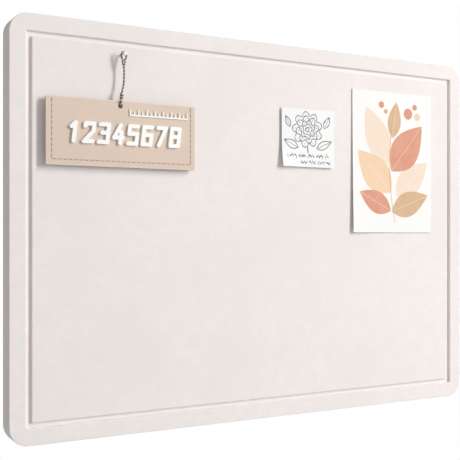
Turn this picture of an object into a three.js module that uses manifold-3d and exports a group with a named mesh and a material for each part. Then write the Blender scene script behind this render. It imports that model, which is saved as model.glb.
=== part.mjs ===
// Felt bulletin board with a hanging tag, a note and a print card.
//
// Millimetres, +Z up. The origin is the centre of the back face, which lies against the wall:
// X runs to the right, Y runs into the wall, so the front faces -Y.
// "out" is the distance from the wall, along -Y.
import * as THREE from "three";
import { mergeVertices } from "three/addons/utils/BufferGeometryUtils.js";
import Module from "manifold-3d";

const wasm = await Module();
wasm.setup();

// Board
const boardWidth = 599.4;
const boardHeight = 434.3;
const cornerRadius = 20;
const backThickness = 12.2;
const coreThickness = 9.1;
const faceThickness = 3.2;
const borderWidth = 17.8;
const grooveWidth = 5.3;
const outerEdgeRound = 0.9;
const backEdgeRound = 1.2;
const grooveEdgeRound = 0.7;
const bondLine = 0.05;
const mitreGap = 0.3;

// Keyhole hangers let into the back
const hangerFromSide = 119.7;
const hangerBelowTop = 52;
const hangerWidth = 48;
const hangerHeight = 26;
const hangerThickness = 1.5;
const hangerCorner = 3.6;
const hangerClearance = 0.4;
const hangerSeatMargin = 8;
const pocketDepth = 4.4;
const keyholeEntryRadius = 4.5;
const keyholeSlotWidth = 4.6;
const keyholeRise = 11;
const keyholeBelowMiddle = 4.5;
const nailHeadRoom = 4.5;
const nailHeadSideRoom = 1.5;
const screwFromMiddle = 18;
const screwHeadRadius = 3.2;
const screwHeadHeight = 1.8;
const screwCrownHeight = 0.5;
const screwShankRadius = 1.5;
const screwBite = 6;
const screwClearance = 0.3;

// Pin that carries the tag
const pinFromLeft = 118.1;
const pinBelowTop = 33.15;
const pinShankRadius = 0.9;
const pinDepth = 10.3;
const pinTipLength = 3;
const pinTipRadius = 0.15;
const pinHeadRadius = 2.1;
const pinHeadHeight = 2.3;
const pinHeadStandoff = 10.7;
const pinClearance = 0.3;

// Twine
const twineRadius = 1;
const twineStandoff = 8.5;
const knotHalfWidth = 2.5;
const knotHalfHeight = 2.6;
const knotDrop = 9.4;
const stopKnotRadius = 3;
const stopKnotHalfThickness = 1.3;
const stopKnotClearance = 0.3;

// Tag, hung by its hole
const tagWidth = 167.1;
const tagHeight = 69.5;
const tagCorner = 1.6;
const tagHoleLeftOfPin = 3.5;
const tagHoleBelowPin = 54.65;
const tagStandoff = 3.8;
const tagLeatherThickness = 1.3;
const tagCoreThickness = 1.5;
const tagCoreInset = 0.6;
const tagHoleRadius = 2.4;
const tagHoleLeftOfMiddle = 3.8;
const tagHoleFromTop = 5.5;

// Raised figures and scale on the tag
const figureHeight = 22.6;
const figureWidth = 13.4;
const figureStroke = 4.3;
const figureRelief = 2.4;
const figurePitch = 16.2;
const figureRowX = 1.6;
const figureRowZ = -0.4;
const figureSlantShare = 0.12;
const scaleWidth = 67.6;
const scaleSpine = 1.5;
const scaleTickWidth = 1.1;
const scaleTickLong = 7;
const scaleTickShort = 4.6;
const scaleRelief = 1.2;
const scaleCentreX = 40;
const scaleBaseZ = 19.6;

// Note
const noteWidth = 74.6;
const noteHeight = 68.9;
const noteFromRight = 206.9;
const noteBelowTop = 72.95;
const noteThickness = 0.3;
const noteStuckHeight = 16;
const notePadWidth = 60;
const notePadHeight = 12;
const notePadThickness = 2.1;
const noteCurl = 2.4;
const noteFlatShare = 0.35;

// Print card
const cardWidth = 126.4;
const cardHeight = 176.5;
const cardFromRight = 51.8;
const cardBelowTop = 42.55;
const cardThickness = 0.5;
const cardStuckHeight = 14;
const cardPadWidth = 20;
const cardPadHeight = 11;
const cardPadThickness = 0.8;
const cardPadInset = 6;
const cardBow = 2;
const creaseGap = 0.35;

// Depths from the wall
const coreBack = backThickness + bondLine;
const coreFront = coreBack + coreThickness;
const faceBack = coreFront + bondLine;
const faceFront = faceBack + faceThickness;
const twineOut = faceFront + twineStandoff;
const tagBack = faceFront + tagStandoff;
const tagCoreBack = tagBack + tagLeatherThickness + bondLine;
const tagFrontBack = tagCoreBack + tagCoreThickness + bondLine;
const tagFront = tagFrontBack + tagLeatherThickness;
const reliefBack = tagFront + bondLine;
const padBack = faceFront + bondLine;
const noteBack = padBack + notePadThickness + bondLine;
const cardBack = padBack + cardPadThickness + bondLine;

// Places across the board
const hangerX = boardWidth / 2 - hangerFromSide;
const hangerZ = boardHeight / 2 - hangerBelowTop;
const pinX = pinFromLeft - boardWidth / 2;
const pinZ = boardHeight / 2 - pinBelowTop;
const noteCentreX = boardWidth / 2 - noteFromRight - noteWidth / 2;
const noteTopZ = boardHeight / 2 - noteBelowTop;
const cardCentreX = boardWidth / 2 - cardFromRight - cardWidth / 2;
const cardTopZ = boardHeight / 2 - cardBelowTop;
const tagHoleX = pinX - tagHoleLeftOfPin;
const tagHoleZ = pinZ - tagHoleBelowPin;
const tagCentreX = tagHoleX + tagHoleLeftOfMiddle;
const tagCentreZ = tagHoleZ + tagHoleFromTop - tagHeight / 2;

const cutOverrun = 5;
const weldDistance = 0.0001;
const quarterTurn = Math.PI / 2;

const felt = { color: 0xebe3df, roughness: 0.95, metalness: 0 };
const feltDeep = { color: 0xddd4cf, roughness: 0.95, metalness: 0 };
const steel = { color: 0xb9babd, roughness: 0.35, metalness: 0.9 };
const whitePlastic = { color: 0xf6f4ef, roughness: 0.35, metalness: 0 };
const twine = { color: 0x6e574b, roughness: 0.9, metalness: 0 };
const leather = { color: 0xd9c7b7, roughness: 0.6, metalness: 0 };
const stiffener = { color: 0xbfa78f, roughness: 0.9, metalness: 0 };
const paper = { color: 0xfcfbf9, roughness: 0.85, metalness: 0 };
const foam = { color: 0xf2f1ee, roughness: 0.9, metalness: 0 };

function addPiece(name, geometry, finish, parent) {
  const mesh = new THREE.Mesh(geometry, new THREE.MeshStandardMaterial(finish));
  mesh.name = name;
  parent.add(mesh);
  return mesh;
}

// Stands a solid drawn in X and Y, and extruded along Z, up against the wall.
function standUp(geometry) {
  return geometry.rotateX(quarterTurn);
}

function toSolid(geometry) {
  const bare = geometry.clone();
  bare.deleteAttribute("normal");
  bare.deleteAttribute("uv");
  const merged = mergeVertices(bare, weldDistance);
  return new wasm.Manifold(
    new wasm.Mesh({
      numProp: 3,
      vertProperties: new Float32Array(merged.attributes.position.array),
      triVerts: new Uint32Array(merged.index.array),
    }),
  );
}

function toGeometry(solid) {
  const mesh = solid.getMesh();
  const geometry = new THREE.BufferGeometry();
  geometry.setAttribute("position", new THREE.BufferAttribute(mesh.vertProperties, 3));
  geometry.setIndex(new THREE.BufferAttribute(mesh.triVerts, 1));
  geometry.computeVertexNormals();
  return geometry;
}

function cutFrom(geometry, cutters) {
  let solid = toSolid(geometry);
  for (const cutter of cutters) {
    solid = solid.subtract(toSolid(cutter));
  }
  return toGeometry(solid);
}

function keepWithin(geometry, region) {
  return toGeometry(toSolid(geometry).intersect(toSolid(region)));
}

function roundedRectangle(width, height, radius) {
  const right = width / 2;
  const top = height / 2;
  const shape = new THREE.Shape();
  shape.moveTo(-right + radius, -top);
  shape.lineTo(right - radius, -top);
  shape.absarc(right - radius, -top + radius, radius, -quarterTurn, 0);
  shape.lineTo(right, top - radius);
  shape.absarc(right - radius, top - radius, radius, 0, quarterTurn);
  shape.lineTo(-right + radius, top);
  shape.absarc(-right + radius, top - radius, radius, quarterTurn, 2 * quarterTurn);
  shape.lineTo(-right, -top + radius);
  shape.absarc(-right + radius, -top + radius, radius, 2 * quarterTurn, 3 * quarterTurn);
  return shape;
}

function polygon(points) {
  return new THREE.Shape(points.map(([x, y]) => new THREE.Vector2(x, y)));
}

function rectangle(width, height) {
  const right = width / 2;
  const top = height / 2;
  return polygon([[-right, -top], [right, -top], [right, top], [-right, top]]);
}

// A flat piece with square edges, from one depth out to another, drawn lying and not yet stood up.
function flatPiece(shape, from, to, curveSegments = 8) {
  const geometry = new THREE.ExtrudeGeometry(shape, {
    depth: to - from,
    bevelEnabled: false,
    curveSegments,
  });
  return geometry.translate(0, 0, from);
}

// A flat piece whose front edges are rounded and whose back edges are square.
function softFrontPiece(shape, from, to, round) {
  const whole = new THREE.ExtrudeGeometry(shape, {
    depth: to - from,
    bevelEnabled: true,
    bevelThickness: round,
    bevelSize: round,
    bevelOffset: -round,
    bevelSegments: 3,
    curveSegments: 10,
  }).translate(0, 0, from - round);
  const reach = boardWidth + boardHeight;
  const region = flatPiece(rectangle(reach, reach), from, to + cutOverrun);
  return keepWithin(whole, region);
}

function drill(x, y, radius, from, to, sides = 16) {
  const length = to - from;
  const tool = new THREE.CylinderGeometry(radius, radius, length, sides);
  return tool.rotateX(quarterTurn).translate(x, y, from + length / 2);
}

// Turned about the line that runs out of the wall; the profile gives radius and depth.
function turned(profile, sides) {
  const points = profile.map(([radius, out]) => new THREE.Vector2(radius, out));
  return new THREE.LatheGeometry(points, sides).rotateX(2 * quarterTurn);
}

function backSheet() {
  const outline = roundedRectangle(boardWidth, boardHeight, cornerRadius);
  const turnedRound = softFrontPiece(outline, 0, backThickness, backEdgeRound);
  const blank = turnedRound.rotateY(2 * quarterTurn).translate(0, 0, backThickness);
  const cutterSegments = 3;
  const cutters = [];
  for (const side of [-1, 1]) {
    const x = side * hangerX;
    const y = hangerZ;
    const pocket = roundedRectangle(
      hangerWidth + 2 * hangerClearance,
      hangerHeight + 2 * hangerClearance,
      hangerCorner + hangerClearance,
    );
    cutters.push(flatPiece(pocket, -cutOverrun, pocketDepth, cutterSegments).translate(x, y, 0));
    const roomWidth = 2 * (keyholeEntryRadius + nailHeadSideRoom);
    const roomHeight = roomWidth + keyholeRise;
    const room = roundedRectangle(roomWidth, roomHeight, keyholeEntryRadius);
    const roomY = y - keyholeBelowMiddle + keyholeRise / 2;
    const roomFloor = pocketDepth + nailHeadRoom;
    cutters.push(flatPiece(room, 0, roomFloor, cutterSegments).translate(x, roomY, 0));
    for (const end of [-1, 1]) {
      const screwX = x + end * screwFromMiddle;
      const boreFloor = pocketDepth + screwBite + screwClearance;
      cutters.push(drill(screwX, y, screwShankRadius + screwClearance, 0, boreFloor));
    }
  }
  return cutFrom(blank, cutters);
}

// The back is parted along straight lines round the two seats of the hangers.
function backPieces() {
  const whole = backSheet();
  const seatWidth = hangerWidth + 2 * hangerSeatMargin;
  const seatHeight = hangerHeight + 2 * hangerSeatMargin;
  const side = boardWidth / 2 + cutOverrun;
  const top = boardHeight / 2 + cutOverrun;
  const seatTop = hangerZ + seatHeight / 2;
  const seatBottom = hangerZ - seatHeight / 2;
  const outer = hangerX + seatWidth / 2;
  const inner = hangerX - seatWidth / 2;
  const parts = [
    ["back_upper", -side, side, seatTop, top],
    ["back_left", -side, -outer, seatBottom, seatTop],
    ["back_seat_left", -outer, -inner, seatBottom, seatTop],
    ["back_middle", -inner, inner, seatBottom, seatTop],
    ["back_seat_right", inner, outer, seatBottom, seatTop],
    ["back_right", outer, side, seatBottom, seatTop],
    ["back_lower", -side, side, -top, seatBottom],
  ];
  return parts.map(([name, left, right, bottom, upper]) => {
    const outline = rectangle(right - left - bondLine, upper - bottom - bondLine);
    const region = flatPiece(outline, -cutOverrun, backThickness + cutOverrun);
    region.translate((left + right) / 2, (bottom + upper) / 2, 0);
    return [name, standUp(keepWithin(whole, region))];
  });
}

function coreSheet() {
  const outline = roundedRectangle(boardWidth, boardHeight, cornerRadius);
  const sheet = flatPiece(outline, coreBack, coreFront, 10);
  const boreFloor = faceFront - pinDepth - pinClearance;
  const bore = drill(pinX, pinZ, pinShankRadius + pinClearance, boreFloor, coreFront + cutOverrun);
  return standUp(cutFrom(sheet, [bore]));
}

// The wedge of the front that one mitred strip of the border fills.
function mitreWedge(halfLength, halfDepth) {
  const reach = cutOverrun + borderWidth;
  const gap = mitreGap / Math.SQRT2;
  return polygon([
    [-halfLength - cutOverrun + gap, halfDepth + cutOverrun],
    [-halfLength + reach + gap, halfDepth - reach],
    [halfLength - reach - gap, halfDepth - reach],
    [halfLength + cutOverrun - gap, halfDepth + cutOverrun],
  ]);
}

function borderStrips() {
  const ring = roundedRectangle(boardWidth, boardHeight, cornerRadius);
  const opening = rectangle(boardWidth - 2 * borderWidth, boardHeight - 2 * borderWidth);
  ring.holes.push(new THREE.Path(opening.getPoints()));
  const whole = softFrontPiece(ring, faceBack, faceFront, outerEdgeRound);
  const halfWidth = boardWidth / 2;
  const halfHeight = boardHeight / 2;
  const sides = [
    ["top", halfWidth, halfHeight, 0],
    ["left", halfHeight, halfWidth, 1],
    ["bottom", halfWidth, halfHeight, 2],
    ["right", halfHeight, halfWidth, 3],
  ];
  return sides.map(([side, halfLength, halfDepth, turns]) => {
    const wedge = flatPiece(mitreWedge(halfLength, halfDepth), 0, faceFront + cutOverrun);
    wedge.rotateZ(turns * quarterTurn);
    return [side, standUp(keepWithin(whole, wedge))];
  });
}

function centrePanel() {
  const inset = borderWidth + grooveWidth;
  const outline = rectangle(boardWidth - 2 * inset, boardHeight - 2 * inset);
  const panel = softFrontPiece(outline, faceBack, faceFront, grooveEdgeRound);
  const radius = pinShankRadius + pinClearance;
  const bore = drill(pinX, pinZ, radius, faceBack - cutOverrun, faceFront + cutOverrun);
  return standUp(cutFrom(panel, [bore]));
}

function hangerPlate() {
  const plate = roundedRectangle(hangerWidth, hangerHeight, hangerCorner);
  const half = keyholeSlotWidth / 2;
  const entryAngle = Math.acos(half / keyholeEntryRadius);
  const entryY = -keyholeBelowMiddle;
  const slotTop = entryY + keyholeRise;
  const keyhole = new THREE.Path();
  keyhole.absarc(0, slotTop, half, 0, 2 * quarterTurn);
  keyhole.absarc(
    0,
    entryY,
    keyholeEntryRadius,
    2 * quarterTurn - entryAngle,
    4 * quarterTurn + entryAngle,
  );
  keyhole.closePath();
  plate.holes.push(keyhole);
  for (const end of [-1, 1]) {
    const hole = new THREE.Path();
    hole.absarc(end * screwFromMiddle, 0, screwShankRadius + screwClearance, 0, 4 * quarterTurn);
    plate.holes.push(hole);
  }
  const from = pocketDepth - bondLine - hangerThickness;
  return standUp(flatPiece(plate, from, from + hangerThickness));
}

// The head is nearest the wall and the shank runs into the board, away from the wall.
function hangerScrew() {
  const underHead = pocketDepth - hangerThickness - 2 * bondLine;
  const rim = underHead - screwHeadHeight + screwCrownHeight;
  const crown = underHead - screwHeadHeight;
  const tip = pocketDepth + screwBite;
  return turned([
    [0, crown],
    [screwHeadRadius / 2, crown],
    [screwHeadRadius, rim],
    [screwHeadRadius, underHead],
    [screwShankRadius, underHead],
    [screwShankRadius, tip - screwShankRadius],
    [0, tip],
  ], 14);
}

function pinShank() {
  const tip = faceFront - pinDepth;
  const under = faceFront + pinHeadStandoff - bondLine;
  return turned([
    [0, tip],
    [pinTipRadius, tip],
    [pinShankRadius, tip + pinTipLength],
    [pinShankRadius, under],
    [0, under],
  ], 12);
}

function pinHead() {
  const base = faceFront + pinHeadStandoff;
  const profile = [[0, base], [pinHeadRadius, base]];
  const rim = base + pinHeadHeight / 3;
  const domeHeight = base + pinHeadHeight - rim;
  const domeSteps = 4;
  for (let step = 0; step < domeSteps; step += 1) {
    const angle = quarterTurn * step / domeSteps;
    profile.push([pinHeadRadius * Math.cos(angle), rim + domeHeight * Math.sin(angle)]);
  }
  profile.push([0, base + pinHeadHeight]);
  return turned(profile, 16);
}

// Points of the twine's routes: to the right of the pin, above it, and out from the knot's middle.
const eyeRoute = [
  [-1.15, -6.4, 0],
  [-1.7, -5.2, 0],
  [-2.45, -3.2, 0],
  [-2.7, -0.8, 0],
  [-1.8, 1.35, 0],
  [0.1, 2.15, 0],
  [2.0, 1.35, 0],
  [2.9, -0.8, 0],
  [2.65, -3.2, 0],
  [1.85, -5.2, 0],
  [1.3, -6.4, 0],
];
const strandRoute = [
  [0.1, -12.2, 0],
  [0.3, -16.0, 0],
  [0.42, -21.5, 0.05],
  [0.2, -27.3, 0.2],
  [-0.35, -31.9, 0.4],
  [-1.3, -36.1, 0.65],
  [-2.35, -40.7, 0.9],
  [-3.05, -45.0, 1.08],
  [-3.4, -48.5, 1.14],
  [-3.5, -50.55, 1.1],
  [-3.5, -52.12, 0.79],
  [-3.5, -53.45, -0.1],
  [-3.5, -54.34, -1.43],
  [-3.5, -54.65, -3.0],
  [-3.5, -54.65, -3.9],
  [-3.5, -54.65, -4.7],
];

function twineTube(route, steps, sides) {
  const section = new THREE.Shape();
  section.absarc(0, 0, twineRadius, 0, 4 * quarterTurn);
  const points = route.map(([x, y, out]) => new THREE.Vector3(pinX + x, pinZ + y, twineOut + out));
  const geometry = new THREE.ExtrudeGeometry(section, {
    steps,
    curveSegments: sides / 2,
    extrudePath: new THREE.CatmullRomCurve3(points),
  });
  return standUp(geometry);
}

function knot(halfWidth, halfHeight, halfDepth, x, y, out) {
  const ball = new THREE.SphereGeometry(1, 12, 8).scale(halfWidth, halfHeight, halfDepth);
  return standUp(ball.translate(x, y, out));
}

function twineKnot() {
  return knot(knotHalfWidth, knotHalfHeight, knotHalfWidth, pinX, pinZ - knotDrop, twineOut);
}

function stopKnot() {
  const out = tagBack - stopKnotClearance - stopKnotHalfThickness;
  return knot(stopKnotRadius, stopKnotRadius, stopKnotHalfThickness, tagHoleX, tagHoleZ, out);
}

function tagLayer(inset, from, thickness) {
  const shape = roundedRectangle(tagWidth - 2 * inset, tagHeight - 2 * inset, tagCorner);
  const hole = new THREE.Path();
  const holeY = tagHeight / 2 - tagHoleFromTop;
  hole.absarc(-tagHoleLeftOfMiddle, holeY, tagHoleRadius, 0, 4 * quarterTurn);
  shape.holes.push(hole);
  return standUp(flatPiece(shape, from, from + thickness).translate(tagCentreX, tagCentreZ, 0));
}

// Strokes of the figures 1 to 8, each from one point to another.
// Shares of a figure's width and height, from its lower left corner.
const figureShares = [
  [[[0.18, 0.8], [0.58, 1]], [[0.58, 1], [0.58, 0]]],
  [[[0, 0.86], [0, 1]], [[0, 1], [1, 1]], [[1, 1], [1, 0.6]], [[1, 0.6], [0, 0]], [[0, 0], [1, 0]]],
  [[[0, 1], [1, 1]], [[1, 1], [1, 0]], [[0.3, 0.53], [1, 0.53]], [[1, 0], [0, 0]]],
  [[[0.62, 1], [0, 0.3]], [[0, 0.3], [1, 0.3]], [[0.78, 0.62], [0.78, 0]]],
  [[[1, 1], [0, 1]], [[0, 1], [0, 0.56]], [[0, 0.56], [1, 0.56]], [[1, 0.56], [1, 0]], [[1, 0], [0, 0]]],
  [[[1, 1], [0, 1]], [[0, 1], [0, 0]], [[0, 0], [1, 0]], [[1, 0], [1, 0.54]], [[1, 0.54], [0, 0.54]]],
  [[[0, 1], [1, 1]], [[1, 1], [0.3, 0]]],
  [[[0, 0], [0, 1]], [[0, 1], [1, 1]], [[1, 1], [1, 0]], [[1, 0], [0, 0]], [[0, 0.53], [1, 0.53]]],
];

// The chamfered end that joins one stroke to the next.
function strokeEnd() {
  const sides = 8;
  const radius = figureStroke / 2 / Math.cos(Math.PI / sides);
  const points = [];
  for (let side = 0; side < sides; side += 1) {
    const angle = (side + 0.5) * 2 * Math.PI / sides;
    points.push([radius * Math.cos(angle), radius * Math.sin(angle)]);
  }
  return polygon(points);
}

function figure(strokes) {
  const reachX = figureWidth - figureStroke;
  const reachY = figureHeight - figureStroke;
  const front = reliefBack + figureRelief;
  const pieces = [];
  for (const stroke of strokes) {
    const [start, end] = stroke.map(
      ([x, y]) => new THREE.Vector2((x - 0.5) * reachX, (y - 0.5) * reachY),
    );
    for (const point of [start, end]) {
      pieces.push(flatPiece(strokeEnd(), reliefBack, front).translate(point.x, point.y, 0));
    }
    const middle = start.clone().add(end).divideScalar(2);
    const bar = flatPiece(rectangle(start.distanceTo(end), figureStroke), reliefBack, front);
    bar.rotateZ(end.sub(start).angle()).translate(middle.x, middle.y, 0);
    pieces.push(bar);
  }
  const solid = pieces.map(toSolid).reduce((whole, piece) => whole.add(piece));
  const slant = new THREE.Matrix4().makeShear(0, 0, figureSlantShare, 0, 0, 0);
  return standUp(toGeometry(solid).applyMatrix4(slant));
}

function scaleComb() {
  const ticks = 15;
  const left = -scaleWidth / 2;
  const pitch = (scaleWidth - scaleTickWidth) / (ticks - 1);
  const points = [[left, 0]];
  for (let tick = ticks - 1; tick >= 0; tick -= 1) {
    const height = tick % 2 === 0 ? scaleTickLong : scaleTickShort;
    const from = left + tick * pitch;
    const to = from + scaleTickWidth;
    points.push([to, tick === ticks - 1 ? 0 : scaleSpine]);
    points.push([to, height]);
    points.push([from, height]);
    if (tick > 0) {
      points.push([from, scaleSpine]);
    }
  }
  return standUp(flatPiece(polygon(points), reliefBack, reliefBack + scaleRelief));
}

// A sheet that hangs from a crease and comes away from the board towards its free edge.
// The profile is drawn in X as the distance out and Y as the height, and runs along the crease.
function hangingLeaf(width, length, thickness, out, lift, startShare) {
  const steps = 10;
  const front = [];
  const back = [];
  for (let step = 0; step <= steps; step += 1) {
    const share = step / steps;
    const bend = Math.max(0, (share - startShare) / (1 - startShare));
    const rise = out + lift * bend * bend;
    front.push([rise + thickness, -share * length]);
    back.unshift([rise, -share * length]);
  }
  const leaf = flatPiece(polygon([...back, ...front]), -width / 2, width / 2);
  const outward = new THREE.Vector3(0, -1, 0);
  const upward = new THREE.Vector3(0, 0, 1);
  const across = new THREE.Vector3(-1, 0, 0);
  return leaf.applyMatrix4(new THREE.Matrix4().makeBasis(outward, upward, across));
}

// A flat strip that hangs down from the line of its top edge.
function strip(width, height, from, thickness) {
  const shape = rectangle(width, height);
  return standUp(flatPiece(shape, from, from + thickness).translate(0, -height / 2, 0));
}

const board = new THREE.Group();

for (const [name, piece] of backPieces()) {
  addPiece(name, piece, felt, board);
}
addPiece("core_sheet", coreSheet(), feltDeep, board);
for (const [side, piece] of borderStrips()) {
  addPiece(`border_${side}`, piece, felt, board);
}
addPiece("centre_panel", centrePanel(), felt, board);

for (const [side, name] of [[-1, "left"], [1, "right"]]) {
  const place = new THREE.Group();
  place.position.set(side * hangerX, 0, hangerZ);
  addPiece(`hanger_plate_${name}`, hangerPlate(), steel, place);
  for (const [end, letter] of [[-1, "a"], [1, "b"]]) {
    const screw = addPiece(`hanger_screw_${name}_${letter}`, hangerScrew(), steel, place);
    screw.position.x = end * screwFromMiddle;
  }
  board.add(place);
}

const pin = new THREE.Group();
pin.position.set(pinX, 0, pinZ);
addPiece("pin_shank", pinShank(), steel, pin);
addPiece("pin_head", pinHead(), whitePlastic, pin);
board.add(pin);

addPiece("twine_eye", twineTube(eyeRoute, 24, 6), twine, board);
addPiece("twine_knot", twineKnot(), twine, board);
addPiece("twine_strand", twineTube(strandRoute, 30, 8), twine, board);
addPiece("twine_stop_knot", stopKnot(), twine, board);

addPiece("tag_back_leather", tagLayer(0, tagBack, tagLeatherThickness), leather, board);
addPiece("tag_stiffener", tagLayer(tagCoreInset, tagCoreBack, tagCoreThickness), stiffener, board);
addPiece("tag_front_leather", tagLayer(0, tagFrontBack, tagLeatherThickness), leather, board);

figureShares.forEach((strokes, index) => {
  const raised = addPiece(`tag_figure_${index + 1}`, figure(strokes), whitePlastic, board);
  const fromMiddle = (index - (figureShares.length - 1) / 2) * figurePitch;
  raised.position.set(tagCentreX + figureRowX + fromMiddle, 0, tagCentreZ + figureRowZ);
});
const scale = addPiece("tag_scale", scaleComb(), whitePlastic, board);
scale.position.set(tagCentreX + scaleCentreX, 0, tagCentreZ + scaleBaseZ);

const note = new THREE.Group();
note.position.set(noteCentreX, 0, noteTopZ);
const notePad = strip(notePadWidth, notePadHeight, padBack, notePadThickness);
addPiece("note_pad", notePad, foam, note).position.z = (notePadHeight - noteStuckHeight) / 2;
addPiece("note_top", strip(noteWidth, noteStuckHeight, noteBack, noteThickness), paper, note);
const noteLeafLength = noteHeight - noteStuckHeight - creaseGap;
const noteLeaf = hangingLeaf(noteWidth, noteLeafLength, noteThickness, noteBack, noteCurl, noteFlatShare);
addPiece("note_leaf", noteLeaf, paper, note).position.z = -noteStuckHeight - creaseGap;
board.add(note);

const card = new THREE.Group();
card.position.set(cardCentreX, 0, cardTopZ);
for (const [side, name] of [[-1, "left"], [1, "right"]]) {
  const pad = addPiece(
    `card_pad_${name}`,
    strip(cardPadWidth, cardPadHeight, padBack, cardPadThickness),
    foam,
    card,
  );
  pad.position.x = side * (cardWidth / 2 - cardPadInset - cardPadWidth / 2);
  pad.position.z = (cardPadHeight - cardStuckHeight) / 2;
}
addPiece("card_top", strip(cardWidth, cardStuckHeight, cardBack, cardThickness), paper, card);
const cardLeafLength = cardHeight - cardStuckHeight - creaseGap;
const cardLeaf = hangingLeaf(cardWidth, cardLeafLength, cardThickness, cardBack, cardBow, 0);
addPiece("card_leaf", cardLeaf, paper, card).position.z = -cardStuckHeight - creaseGap;
board.add(card);

export default board;
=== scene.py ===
"""Dresses the felt bulletin board: pressed felt, keyhole hangers, a tag on twine, a note and a card.

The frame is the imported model's: X runs to the right, Z up, the front faces -Y, and the back face
lies on the wall at Y = 0. Sizes are in millimetres and become metres in `at`; "out" is the
distance from the wall, along -Y.
"""

from __future__ import annotations

import logging
import math
from collections.abc import Iterable, Sequence
from dataclasses import dataclass, field
from enum import Enum
from typing import Any, Union

import bmesh
import bpy
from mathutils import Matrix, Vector


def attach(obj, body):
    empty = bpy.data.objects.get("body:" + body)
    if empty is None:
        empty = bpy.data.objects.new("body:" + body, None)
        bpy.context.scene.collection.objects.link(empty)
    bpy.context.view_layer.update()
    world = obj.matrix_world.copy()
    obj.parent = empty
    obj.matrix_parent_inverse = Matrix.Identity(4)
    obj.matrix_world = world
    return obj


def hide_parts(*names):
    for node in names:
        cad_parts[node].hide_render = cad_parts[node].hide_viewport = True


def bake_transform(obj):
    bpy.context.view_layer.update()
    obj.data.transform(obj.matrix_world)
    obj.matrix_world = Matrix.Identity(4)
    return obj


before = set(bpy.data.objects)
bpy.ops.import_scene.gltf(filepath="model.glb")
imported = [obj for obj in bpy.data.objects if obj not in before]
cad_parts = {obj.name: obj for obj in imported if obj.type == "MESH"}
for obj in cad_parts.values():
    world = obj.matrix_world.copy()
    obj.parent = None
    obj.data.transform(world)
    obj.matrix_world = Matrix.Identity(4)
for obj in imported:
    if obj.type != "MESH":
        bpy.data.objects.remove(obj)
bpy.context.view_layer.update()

LOG = logging.getLogger("felt_board")
MM = 0.001
TURN = 2 * math.pi

# Places and sizes, in millimetres, that several pieces share
FACE_FRONT = 24.6
BOND = 0.05
PIN_X, PIN_Z = -181.6, 184.0
TWINE_HOLE = (-185.1, 129.35)
HANGER_X, HANGER_Z = 180.0, 165.15
SCREW_X = 18.0

# The flat that a slab keeps inside its rounded edge
HOLD = 0.5

# Edges that turn by more degrees than this are shaded sharp; at the second, none are
SHARP, SOFT = 38.0, 180.0

Colour = tuple[float, float, float, float]
Number = Union[float, "Wire"]
Pair = tuple[float, float]
Triple = tuple[float, float, float]
Pairs = list[Pair]


class Body(Enum):
    """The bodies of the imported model."""

    BOARD = "board"
    PIN = "pin"
    LOOP = "loop"
    TAG = "tag"
    NOTE_FLAP = "note_flap"
    CARD_FLAP = "card_flap"


class Slot(Enum):
    """The record's material slots."""

    FELT_FRONT = "felt_front"
    FELT_CORE = "felt_core"
    FELT_BACK = "felt_back"
    STEEL = "steel"
    PIN_PLASTIC = "pin_plastic"
    TWINE = "twine"
    TAG_LEATHER = "tag_leather"
    TAG_BOARD = "tag_board"
    RAISED_WHITE = "raised_white"
    NOTE_PAPER = "note_paper"
    CARD_STOCK = "card_stock"
    FOAM_PAD = "foam_pad"


def paint(red: float, green: float, blue: float) -> Colour:
    """Returns an opaque colour from its linear parts."""
    return (red, green, blue, 1.0)


def at(x: float, out: float, z: float) -> Vector:
    """Returns the point in metres at these millimetres across, out from the wall and up."""
    return Vector((x * MM, -out * MM, z * MM))


def quarter(steps: int) -> list[float]:
    """Returns the angles from 0 to a quarter turn, in equal steps."""
    return [TURN / 4 * step / steps for step in range(steps + 1)]


def circle(sides: int) -> list[float]:
    """Returns the angles of a circle's corners."""
    return [TURN * side / sides for side in range(sides)]


# Shader tools


class Wire:
    """A value on its way between shader nodes; sums on it add Math nodes."""

    def __init__(self, shader: Shader, socket: bpy.types.NodeSocket) -> None:
        """Keeps the socket and the shader that it belongs to."""
        self.shader = shader
        self.socket = socket

    def sum(self, operation: str, *values: Number) -> Wire:
        """Returns a Math node's result on the values, in their order."""
        return self.shader.node("ShaderNodeMath", {"operation": operation}, dict(enumerate(values)))

    def other(self, output: str) -> Wire:
        """Returns another output of the same node."""
        return Wire(self.shader, self.socket.node.outputs[output])

    def __add__(self, value: Number) -> Wire:
        """Returns the sum."""
        return self.sum("ADD", self, value)

    def __sub__(self, value: Number) -> Wire:
        """Returns the difference."""
        return self.sum("SUBTRACT", self, value)

    def __rsub__(self, value: Number) -> Wire:
        """Returns the value less this one."""
        return self.sum("SUBTRACT", value, self)

    def __mul__(self, value: Number) -> Wire:
        """Returns the product."""
        return self.sum("MULTIPLY", self, value)

    def __truediv__(self, value: Number) -> Wire:
        """Returns this value divided by another."""
        return self.sum("DIVIDE", self, value)

    def __rtruediv__(self, value: Number) -> Wire:
        """Returns the other value divided by this one."""
        return self.sum("DIVIDE", value, self)

    def __pow__(self, value: Number) -> Wire:
        """Returns this value raised to a power."""
        return self.sum("POWER", self, value)

    def __abs__(self) -> Wire:
        """Returns the value without its sign."""
        return self.sum("ABSOLUTE", self)

    __radd__ = __add__
    __rmul__ = __mul__

    def least(self, value: Number) -> Wire:
        """Returns the smaller of the two."""
        return self.sum("MINIMUM", self, value)

    def most(self, value: Number) -> Wire:
        """Returns the larger of the two."""
        return self.sum("MAXIMUM", self, value)

    def sine(self) -> Wire:
        """Returns the sine of the value."""
        return self.sum("SINE", self)

    def step(self, low: float, high: float) -> Wire:
        """Returns a smooth rise from 0 at low to 1 at high."""
        inputs = {"Value": self, "From Min": low, "From Max": high}
        return self.shader.node("ShaderNodeMapRange", {"interpolation_type": "SMOOTHSTEP"}, inputs)


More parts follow.
